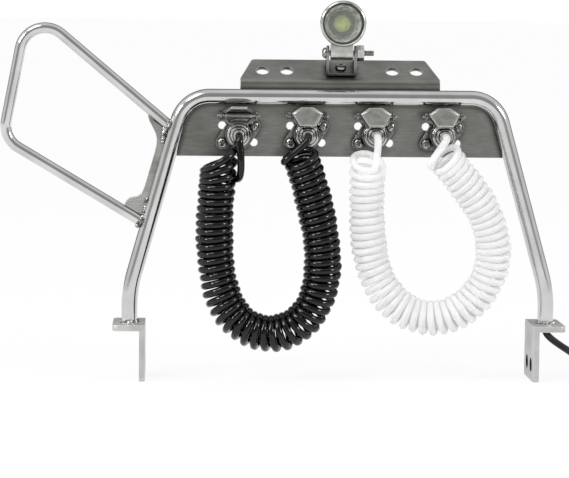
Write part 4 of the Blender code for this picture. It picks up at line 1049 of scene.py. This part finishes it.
lidSet = {
    "half": 3.1,
    "tabHalf": 1.25,
    "tab": 1.6,
    "endHalf": 1.55,
    "end": 3.3,
    "sheet": (0.3, 0.75),
    "rim": 0.24,
    "slope": 0.2,
    "panel": 0.15,
    "knuckle": 0.55,
    "knuckleShort": 0.5,
    "drop": 45.0,
    "raised": -20.0,
    "edge": 0.06,
}


def socketMiddle(across):  # on the plate's face
    return at(across, socketSet["plateFront"], socketSet["height"])


def hingeMiddle(across):
    return at(across, socketSet["plateFront"] - pinSet["forward"], socketSet["height"] + pinSet["rise"])


def makePlugs(aluminium):
    for number, across in enumerate(socketPlaces, 1):
        shape = turned(plugSet["profile"], socketMiddle(across), (0, -1, 0), facets["plug"],
                       plugSet["flutes"], plugSet["fluteDepth"])
        makePiece(f"hosePlug{number}", shape, aluminium, "rack",
                  [f"socket_{number}_plug"])


def makePins(aluminium):
    radius, half, chamfer = pinSet["radius"], pinSet["half"], pinSet["chamfer"]
    profile = [(0.0, -half), (radius - chamfer, -half), (radius, chamfer - half), (radius, half - chamfer),
               (radius - chamfer, half), (0.0, half)]
    pins = [turned(profile, hingeMiddle(across), (1, 0, 0), facets["pin"]) for across in socketPlaces]
    nodes = [f"socket_{number}_lid_pin" for number in range(1, 5)]
    makePiece("lidPins", joined(pins), aluminium, "rack", nodes)


def makeSocketBodies(nickel):
    screw = (socketSet["screwAcross"], socketSet["screwUp"])
    hinge = (pinSet["forward"], pinSet["rise"])
    rim = ringPoints(bodySet["hub"], (0.0, 0.0), facets["tube"])
    for side in (1, -1):
        rim += ringPoints(bodySet["lug"], (side * screw[0], side * screw[1]), facets["bolt"])
    cheek = bodySet["earFoot"] + ringPoints(bodySet["earRound"], hinge, facets["pin"])
    reach, forward = bodySet["pinDrill"], (0, -1, 0)
    for number, across in enumerate(socketPlaces, 1):
        base = socketMiddle(across)

        def ahead(a, b, depth, base=base):
            return base + Vector((a, -depth, b)) * mm

        def sideways(depth, b, a, base=base):
            return base + Vector((a, -depth, b)) * mm

        barrel = rod(bodySet["barrel"], bodySet["barrelBack"], bodySet["barrelFront"], base, forward,
                     facets["barrel"])
        fork = prism(bodySet["fork"], ahead, *bodySet["forkDepth"])
        ears = [hullPrism(cheek, sideways, *(side * edge for edge in bodySet["ears"])) for side in (-1, 1)]
        drill = rod(bodySet["bore"], bodySet["boreBack"], bodySet["drillEnd"], base, forward, facets["tube"])
        pinDrill = prism(ringPoints(bodySet["pinBore"], hinge, facets["wire"]), sideways, -reach, reach)
        shape = carved(hullPrism(rim, ahead, *bodySet["flange"]), [barrel, fork] + ears, [drill, pinDrill])
        brokenEdges(f"socketBody{number}", shape, [f"socket_{number}_body"], nickel, "rack",
                    bodySet["edge"])


def makeLids(steel):
    # six-sided pressed lids, the panel sunk inside a rim and the knuckle behind it; the first stands raised
    half, reach = lidSet["half"], lidSet["half"] - lidSet["knuckleShort"]
    tab, tabHalf, end, endHalf = (lidSet[key] for key in ("tab", "tabHalf", "end", "endHalf"))
    outline = [(-tabHalf, tab), (tabHalf, tab), (half, 0.0), (endHalf, -end), (-endHalf, -end), (-half, 0.0)]
    for number, across in enumerate(socketPlaces, 1):
        drop = math.radians(lidSet["raised"] if number == 1 else lidSet["drop"])
        pin = hingeMiddle(across)
        along = Vector((0.0, math.cos(drop), math.sin(drop)))
        out = Vector((0.0, -math.sin(drop), math.cos(drop)))

        def flat(a, b, depth, pin=pin, along=along, out=out):
            return pin + (Vector((a, 0.0, 0.0)) + along * b + out * depth) * mm

        flap = prism(outline, flat, *lidSet["sheet"])
        broad = [face for face in flap.faces if abs(face.normal.dot(out)) > shapeSet["broadside"]]
        bmesh.ops.inset_individual(flap, faces=broad, thickness=lidSet["rim"] * mm)
        bmesh.ops.inset_individual(flap, faces=broad, thickness=lidSet["slope"] * mm,
                                   depth=-lidSet["panel"] * mm)
        knuckle = rod(lidSet["knuckle"], -reach, reach, pin, (1, 0, 0), facets["bolt"])
        through = bodySet["pinDrill"]
        drill = rod(bodySet["pinBore"], -through, through, pin, (1, 0, 0), facets["pin"])
        brokenEdges(f"socketLid{number}", carved(flap, [knuckle], [drill]), [f"socket_{number}_lid"], steel,
                    f"lid_{number}", lidSet["edge"])


# screws and nuts
screwSet = {"head": 1.0, "headHeight": 0.7, "shank": 0.5, "length": 2.9, "slot": 0.32, "slotDepth": 0.42,
            "seed": 7}
nutSet = {"across": 2.2, "height": 0.9, "bore": 0.6, "seed": 3}
bracketScrewSet = {"head": 1.1, "headHeight": 0.7, "shank": 0.65, "length": 2.6, "slot": 0.3,
                   "slotDepth": 0.32, "seed": 5, "seat": 0.85}
bracketNutSet = {"across": 2.64, "height": 0.9, "bore": 0.75, "seed": 4, "drop": 1.8}
headSet = {
    "curve": [(0.45, 0.97), (0.75, 0.82), (0.94, 0.5), (1.0, 0.2)],  # shares of the head's radius and height
    "slotReach": 1.3,
    "slotTaper": 0.6,
    "slotOver": 0.2,
    "point": 0.7,
    "smoothUnder": 38.0,
}
hexSet = {"chamfer": 0.12, "face": 0.93, "drillOver": 1.0, "smoothUnder": 20.0}
screwThread = {"pitch": 0.25, "crest": 0.05, "valley": 0.14, "root": 0.84}


def threaded(radius, start, stop, way, thread):  # a shank's profile with a groove at each pitch
    profile, depth = [], start
    while depth < stop:
        for share, step in ((1.0, "crest"), (thread["root"], "valley"), (1.0, "pitch")):
            profile.append((radius * share, way * (depth + thread[step])))
        depth += thread["pitch"]
    return profile


def crossScrew(sizes):
    # pan head with a cross recess, its seat at the origin and its head up Z
    head, headHeight, shank, length = (sizes[key] for key in ("head", "headHeight", "shank", "length"))
    profile = [(0.0, headHeight)] + [(head * across, headHeight * rise) for across, rise in headSet["curve"]]
    profile += [(head, 0.0), (shank, 0.0)]
    profile += threaded(shank, 0.0, length - screwThread["pitch"], -1, screwThread)
    profile += [(shank * headSet["point"], -length), (0.0, -length)]
    slots = []
    reach = head * headSet["slotReach"]
    for long, wide in ((reach, sizes["slot"]), (sizes["slot"], reach)):
        block = bmesh.new()
        bmesh.ops.create_cube(block, size=1.0)
        for vertex in block.verts:
            upper = vertex.co.z > 0
            taper = 1.0 if upper else headSet["slotTaper"]
            level = headHeight + (headSet["slotOver"] if upper else -sizes["slotDepth"])
            vertex.co = Vector((vertex.co.x * long * taper, vertex.co.y * wide * taper, level)) * mm
        slots.append(block)
    blank = turned(profile, Vector((0, 0, 0)), (0, 0, 1), facets["screw"])
    made = helper(carved(blank, cuts=slots), "screwMaster")
    smoothed(made.data, headSet["smoothUnder"])
    return made


def hexNut(sizes):
    # hexagon with turned corners, its seat at the origin
    height, chamfer = sizes["height"], hexSet["chamfer"]
    corner, over = sizes["across"] / math.sqrt(3.0), hexSet["drillOver"]
    shape = bmesh.new()
    rows = []
    face = hexSet["face"]
    for level, size in ((0.0, face), (chamfer, 1.0), (height - chamfer, 1.0), (height, face)):
        ring = ringPoints(corner * size, (0, 0), 6)
        rows.append([shape.verts.new(Vector((x, y, level)) * mm) for x, y in ring])
    for here, there in zip(rows, rows[1:]):
        bridge(shape, here, there)
    shape.faces.new(rows[0])
    shape.faces.new(rows[-1])
    drill = rod(sizes["bore"], -over, height + over, Vector((0, 0, 0)), (0, 0, 1), facets["pin"])
    made = helper(carved(outward(shape), cuts=[drill]), "nutMaster")
    smoothed(made.data, hexSet["smoothUnder"])
    return made


def fastenerTree():
    # one fastener at each point, all facing one way, each stopped at its own angle
    tree = bpy.data.node_groups.new("fastenersAtPoints", "GeometryNodeTree")
    for name, kind in (("Points", "Geometry"), ("Fastener", "Object"), ("Facing", "Vector"), ("Seed", "Int"),
                       ("Finish", "Material")):
        tree.interface.new_socket(name, in_out="INPUT", socket_type="NodeSocket" + kind)
    tree.interface.new_socket("Fasteners", in_out="OUTPUT", socket_type="NodeSocketGeometry")
    given = node(tree, "NodeGroupInput").outputs
    master = node(tree, "GeometryNodeObjectInfo", {"transform_space": "ORIGINAL"},
                  {"Object": given["Fastener"]})
    spin = node(tree, "FunctionNodeRandomValue", {"data_type": "FLOAT", 3: 2 * math.pi},
                {"Seed": given["Seed"]})
    stopped = node(tree, "ShaderNodeCombineXYZ", {}, {"Z": spin.outputs[1]})
    facing = node(tree, "FunctionNodeEulerToRotation", {}, {0: given["Facing"]})
    stop = node(tree, "FunctionNodeEulerToRotation", {}, {0: stopped.outputs["Vector"]})
    turn = node(tree, "FunctionNodeRotateRotation", {"rotation_space": "LOCAL"},
                {0: facing.outputs[0], 1: stop.outputs[0]})
    links = {"Points": given["Points"], "Instance": master.outputs["Geometry"], "Rotation": turn.outputs[0]}
    placed = node(tree, "GeometryNodeInstanceOnPoints", {}, links)
    real = node(tree, "GeometryNodeRealizeInstances", {}, {0: placed.outputs[0]})
    painted = node(tree, "GeometryNodeSetMaterial", {},
                   {"Geometry": real.outputs[0], "Material": given["Finish"]})
    node(tree, "NodeGroupOutput", {}, {0: painted.outputs[0]})
    return tree


def fasteners(name, tree, master, spots, facing, seed, finish, nodes):
    mesh = bpy.data.meshes.new(name + "Points")
    mesh.from_pydata([tuple(spot) for spot in spots], [], [])
    carrier = newObject(name + "Points", mesh)
    change = carrier.modifiers.new("fasteners", "NODES")
    change.node_group = tree
    keys = {item.name: item.identifier for item in tree.interface.items_tree if item.in_out == "INPUT"}
    for key, value in (("Fastener", master), ("Facing", facing), ("Seed", seed), ("Finish", finish)):
        change[keys[key]] = value
    made = finishedMesh(carrier)
    bpy.data.objects.remove(carrier)
    bpy.data.objects.remove(master)
    finishedPiece(name, made, finish, "rack", nodes)


def makeFasteners(steel, bright):
    tree = fastenerTree()
    fronts, backs, screwNodes, nutNodes = [], [], [], []
    for number, across in enumerate(socketPlaces, 1):
        for corner, side in (("upper", 1), ("lower", -1)):
            x = across + side * socketSet["screwAcross"]
            z = socketSet["height"] + side * socketSet["screwUp"]
            fronts.append(at(x, socketSet["plateFront"] - socketSet["flangeFront"], z))
            backs.append(at(x, socketSet["plateFront"] + socketSet["plate"], z))
            screwNodes.append(f"socket_{number}_{corner}_screw")
            nutNodes.append(f"socket_{number}_{corner}_nut")
    quarter = math.pi / 2
    fasteners("socketScrews", tree, crossScrew(screwSet), fronts, (quarter, 0.0, 0.0), screwSet["seed"],
              steel, screwNodes)
    fasteners("socketNuts", tree, hexNut(nutSet), backs, (-quarter, 0.0, 0.0), nutSet["seed"],
              steel, nutNodes)

    # the bracket's screw stands square to the sloping shelf
    swivel = jointNamed("lamp_swivel")
    middle, way = Vector(swivel["pos_m"]), Vector(swivel["axis"])
    facing = (math.atan2(-way.y, way.z), 0.0, 0.0)
    seat = middle + way * bracketScrewSet["seat"] * mm
    fasteners("bracketScrew", tree, crossScrew(bracketScrewSet), [seat], facing, bracketScrewSet["seed"],
              bright, ["bracket_screw"])
    under = middle - way * bracketNutSet["drop"] * mm
    fasteners("bracketNut", tree, hexNut(bracketNutSet), [under], facing, bracketNutSet["seed"],
              steel, ["bracket_nut"])


# the lamp; depths run forward from its middle
lampSet = {
    "rise": 5.9,
    "shellFront": 3.0,
    "shellBack": -4.2,
    "shell": 4.3,
    "wall": 0.5,
    "domeShare": 0.75,
    "shellSteps": 16,
    "lensSteps": 12,
    "coneSteps": 12,
    "groove": [(0.0, 0.5), (0.14, 0.6), (0.14, 0.85), (0.0, 0.95)],  # in from the shell, back from its front
    "rim": 4.6,
    "window": 4.1,
    "seatGap": 0.1,
    # off the seat, the rim's points run in from the rim and the mouth's out from the window
    "bezelRim": [(0.1, 0.0), (0.0, 0.12), (0.0, 0.95), (0.08, 1.2), (0.22, 1.36)],
    "bezelMouth": [(0.16, 1.4), (0.04, 1.3), (0.0, 1.1)],
    "lensGap": 0.1,
    "lens": (0.1, 0.45, 0.3),  # its back and its edge off the seat, and its crown
    "seal": [(0.0, 0.5), (0.0, 0.95), (0.16, 0.9), (0.16, 0.5)],  # in from the window, off the seat
    "throat": 2.1,
    "throatDepth": -0.6,
    "mouthGap": 0.1,
    "coneLip": 0.3,
    "coneWall": 0.4,
    "coneCurve": 0.8,
    "led": 1.78,
    "ledDepths": (-2.2, 0.4),
    "holder": [(0.03, -2.0), (0.3, -2.0), (0.3, 0.1), (0.72, 0.52), (0.72, 0.6), (0.62, 0.62), (0.1, 0.3),
               (0.03, 0.3)],  # out from the LED
    "lug": 2.8,
    "lugWidth": 4.5,
    "lugClear": 0.3,
    "lugEdge": 0.1,
    "copeReach": 9.0,
}
boltSet = {
    "radius": 0.55,
    "armHalf": 3.1,
    "head": 1.1,
    "headHeight": 0.85,
    "headCurve": [(0.5, 0.83), (0.85, 0.62), (1.0, 0.3)],  # shares of the head's radius, heights in mm
    "threadEnd": 3.2,
    "end": 3.4,
    "point": 0.75,
    "nutEdge": 0.16,
    "thread": {"pitch": 0.25, "crest": 0.06, "valley": 0.15, "root": 0.85},
}


def makeLamp(aluminium, mirror, glass, resin, nylon, steel):
    pivot = Vector(jointNamed("lamp_tilt")["pos_m"])
    middle = pivot + Vector((0.0, 0.0, lampSet["rise"] * mm))
    ahead = (0, -1, 0)
    outer, front, back, wall = (lampSet[key] for key in ("shell", "shellFront", "shellBack", "wall"))
    inner, dome = outer - wall, outer * lampSet["domeShare"]
    profile = [(inner, front), (outer, front)]
    profile += [(outer - cut, front - depth) for cut, depth in lampSet["groove"]]
    shellSteps, lensSteps, around = lampSet["shellSteps"], lampSet["lensSteps"], facets["shell"]
    profile += domed(outer, back + dome, -dome, shellSteps) + [(0.0, back), (0.0, back + 2 * wall)]
    profile += domed(inner, back + dome, 2 * wall - dome, shellSteps)[::-1]
    makePiece("lampShell", turnedRing(profile, middle, ahead, around), aluminium, "lamp",
              ["lamp_housing"])

    # the lug under the shell, drilled for the pivot bolt and coped to the shell's wall
    def sideways(depth, b, a):
        return pivot + Vector((a, depth, b)) * mm

    thick, wide, reach = lampSet["lug"] / 2, lampSet["lugWidth"] / 2, lampSet["copeReach"]
    outline = ringPoints(thick, (0.0, 0.0), facets["rod"])
    outline += [(side * thick, lampSet["rise"] - inner) for side in (-1, 1)]
    bore = ringPoints(boltSet["radius"] + lampSet["lugClear"], (0.0, 0.0), facets["bolt"])
    drill = prism(bore, sideways, -2 * wide, 2 * wide)
    cope = rod(outer - wall / 2, -reach, reach, middle, ahead, around)
    lug = carved(hullPrism(outline, sideways, -wide, wide), cuts=[drill, cope])
    brokenEdges("lampLug", lug, [], aluminium, "lamp", lampSet["lugEdge"])

    rim, window, seat = lampSet["rim"], lampSet["window"], front + lampSet["seatGap"]
    bezel = [(window, seat)] + [(rim - cut, seat + depth) for cut, depth in lampSet["bezelRim"]]
    bezel += [(window + out, seat + depth) for out, depth in lampSet["bezelMouth"]]
    makePiece("lampBezel", turnedRing(bezel, middle, ahead, facets["bezel"]), aluminium, "lamp",
              ["lamp_bezel"])

    edge = window - lampSet["lensGap"]
    lensBack, lensEdge, crown = lampSet["lens"]
    lens = [(0.0, seat + lensBack), (edge, seat + lensBack)]
    lens += domed(edge, seat + lensEdge, crown, lensSteps) + [(0.0, seat + lensEdge + crown)]
    makePiece("lampLens", turned(lens, middle, ahead, around), glass, "lamp", ["lamp_lens"])

    # black seal between the bezel and the lens
    seal = [(window - cut, seat + depth) for cut, depth in lampSet["seal"]]
    makePiece("lensSeal", turnedRing(seal, middle, ahead, around), nylon, "lamp")

    throat, deep, lip = lampSet["throat"], lampSet["throatDepth"], lampSet["coneLip"]
    mouth = inner - lampSet["mouthGap"]
    cone = [(throat, deep)]
    for step in range(lampSet["coneSteps"]):
        share = (step + 1) / lampSet["coneSteps"]
        flare = (mouth - lip - throat) * share ** lampSet["coneCurve"]
        cone.append((throat + flare, deep + (front - deep) * share))
    cone += [(mouth, front), (mouth, front - lip), (throat + lampSet["coneWall"], deep)]
    makePiece("lampReflector", turnedRing(cone, middle, ahead, around), mirror, "lamp",
              ["lamp_reflector"])

    led = lampSet["led"]
    ledBack, ledFront = lampSet["ledDepths"]
    cup = [(led + out, depth) for out, depth in lampSet["holder"]]
    holder = turnedRing(cup, middle, ahead, facets["barrel"])
    makePiece("ledHolder", holder, nylon, "lamp")
    bulb = [(0.0, ledBack), (led, ledBack)] + domed(led, ledFront, led, lensSteps) + [(0.0, ledFront + led)]
    makePiece("lampLed", turned(bulb, middle, ahead, facets["tube"]), resin, "lamp",
              ["lamp_led"])

    # pan-head pivot bolt, its thread standing out of the nut
    half, bolt, head = boltSet["armHalf"], boltSet["radius"], boltSet["head"]
    profile = [(0.0, -half - boltSet["headHeight"])]
    profile += [(head * share, -half - rise) for share, rise in boltSet["headCurve"]]
    profile += [(head, -half), (bolt, -half)]
    profile += threaded(bolt, -half, half + boltSet["threadEnd"], 1, boltSet["thread"])
    profile += [(bolt * boltSet["point"], half + boltSet["end"]), (0.0, half + boltSet["end"])]
    makePiece("pivotBolt", turned(profile, pivot, (1, 0, 0), facets["bolt"]), steel, "bracket",
              ["pivot_bolt"])
    worked("pivotNut", "pivot_nut", aluminium, "bracket", boltSet["nutEdge"])


# studio
studioSet = {
    "floorSize": 60000.0,
    "paperGlow": 0.9,
    "target": (0.0, 0.0, 35.0),
    "sunPlace": (-300.0, -380.0, 620.0),
    "sunPower": 0.85,
    "sunAngle": 24.0,
    "keyPlace": (-450.0, -280.0, 300.0),
    "keySize": 120.0,
    "keyPower": 1.25,
    "fillPlace": (450.0, -280.0, 260.0),
    "fillSize": 120.0,
    "fillPower": 1.0,
    # from front to back: grey room, white tent at the sides, dark gap beside the backdrop, white behind
    "room": [(0.0, 0.34), (0.16, 0.34), (0.3, 0.8), (0.7, 0.8), (0.79, 0.24), (0.95, 0.17), (0.985, 1.0)],
}


def seenRays(tree):  # rays that show the paper itself: to the camera, off metal and through glass
    rays = node(tree, "ShaderNodeLightPath").outputs
    seen = rays["Is Camera Ray"]
    for kind in ("Is Glossy Ray", "Is Transmission Ray"):
        seen = node(tree, "ShaderNodeMath", {"operation": "MAXIMUM"}, {0: seen, 1: rays[kind]}).outputs[0]
    return seen


def floorPaper():
    # seamless photographic paper: white with a very faint tooth, and still white where the shadow falls
    made, tree = startMaterial("seamlessPaper", {"Roughness": 0.9, "Specular IOR Level": 0.1})
    surfaced(tree, toned(tree, grain(tree, 1.5), "#FBFBFB", "#F7F7F7"))
    paper, output = tree.nodes["Principled BSDF"].outputs[0], tree.nodes["Material Output"].inputs["Surface"]
    sets = {"operation": "MULTIPLY", 1: studioSet["paperGlow"]}
    share = node(tree, "ShaderNodeMath", sets, {0: seenRays(tree)})
    glow = node(tree, "ShaderNodeEmission", {"Color": (1.0, 1.0, 1.0, 1.0), "Strength": 1.0})
    mix = node(tree, "ShaderNodeMixShader", {}, {0: share.outputs[0], 1: paper, 2: glow.outputs[0]})
    tree.links.new(mix.outputs[0], output)
    return made


def aimedLamp(name, kind, place, power):
    lamp = bpy.data.lights.new(name, kind)
    lamp.energy = power
    made = newObject(name, lamp)
    made.location = at(*place)
    made.rotation_euler = (at(*studioSet["target"]) - made.location).to_track_quat("-Z", "Y").to_euler()
    return lamp


def setStudio():
    scene.view_settings.view_transform = "Standard"
    half = studioSet["floorSize"] / 2 * mm
    shape = bmesh.new()
    shape.faces.new([shape.verts.new((side * half, deep * half, 0.0))
                     for side, deep in ((-1, -1), (1, -1), (1, 1), (-1, 1))])
    mesh = meshOf(shape, "paperFloor")
    mesh.materials.append(floorPaper())
    newObject("paperFloor", mesh)

    world = bpy.data.worlds.new("whiteStudio")
    scene.world = world
    world.use_nodes = True
    tree = world.node_tree
    tree.nodes.clear()
    ways = node(tree, "ShaderNodeTexCoord")
    parts = node(tree, "ShaderNodeSeparateXYZ", {}, {"Vector": ways.outputs["Generated"]})
    sets = {"From Min": -1.0, "From Max": 1.0}
    depth = node(tree, "ShaderNodeMapRange", sets, {"Value": parts.outputs["Y"]})
    ramp = node(tree, "ShaderNodeValToRGB", {}, {"Fac": depth.outputs["Result"]})
    stops = ramp.color_ramp.elements
    while len(stops) < len(studioSet["room"]):
        stops.new(0.5)
    for stop, (place, level) in zip(stops, studioSet["room"]):
        stop.position = place
        stop.color = (level, level, level, 1.0)
    room = node(tree, "ShaderNodeBackground", {"Strength": 1.0}, {"Color": ramp.outputs["Color"]})
    node(tree, "ShaderNodeOutputWorld", {}, {"Surface": room.outputs[0]})

    sun = aimedLamp("softSun", "SUN", studioSet["sunPlace"], studioSet["sunPower"])
    sun.angle = math.radians(studioSet["sunAngle"])
    for name in ("key", "fill"):
        box = aimedLamp(name + "Box", "AREA", studioSet[name + "Place"], studioSet[name + "Power"])
        box.shape = "SQUARE"
        box.size = studioSet[name + "Size"] * mm
    print("studio set")


# the plate and the lamp's bracket are the CAD solids with their edges broken
sheetSet = {"plateEdge": 0.1, "bracketEdge": 0.07}


def main():
    setCamera()
    brushed = brushedStainless("brushedStainlessSheet", "#9C9C97", "#80807C")
    paleBrushed = brushedStainless("brushedStainlessGusset", "#D2D2CE", "#B0B0AC")
    polished, aluminium = polishedStainless(), turnedAluminium()
    screwSteel, nylon = platedScrewSteel(), mouldedNylon()
    curlyHose("blackHose", blackSet, blackPolyurethane(), "black_hose")
    curlyHose("whiteHose", whiteSet, clearPolyurethane(), "white_hose")
    lampLead(cableVinyl(), nylon, screwSteel)
    makeHoop(polished)
    makeHandle(polished)
    makeWelds(weldMetal())
    print("hoop and handle made")
    makeFeet(blastedStainless(), holeShadeSteel())
    makeGusset(paleBrushed)
    worked("socketPlate", "socket_plate", brushed, "rack", sheetSet["plateEdge"])
    makeSocketBodies(castNickel())
    makeLids(stampedSheet())
    makePlugs(aluminium)
    makePins(aluminium)
    makeFasteners(screwSteel, aluminium)
    print("sockets made")
    worked("lampBracket", "lamp_bracket", brushed, "bracket", sheetSet["bracketEdge"])
    makeLamp(aluminium, mirrorPlating(), lensGlass(), ledResin(), nylon, screwSteel)
    print("lamp made")
    setStudio()
    bpy.context.view_layer.update()


main()
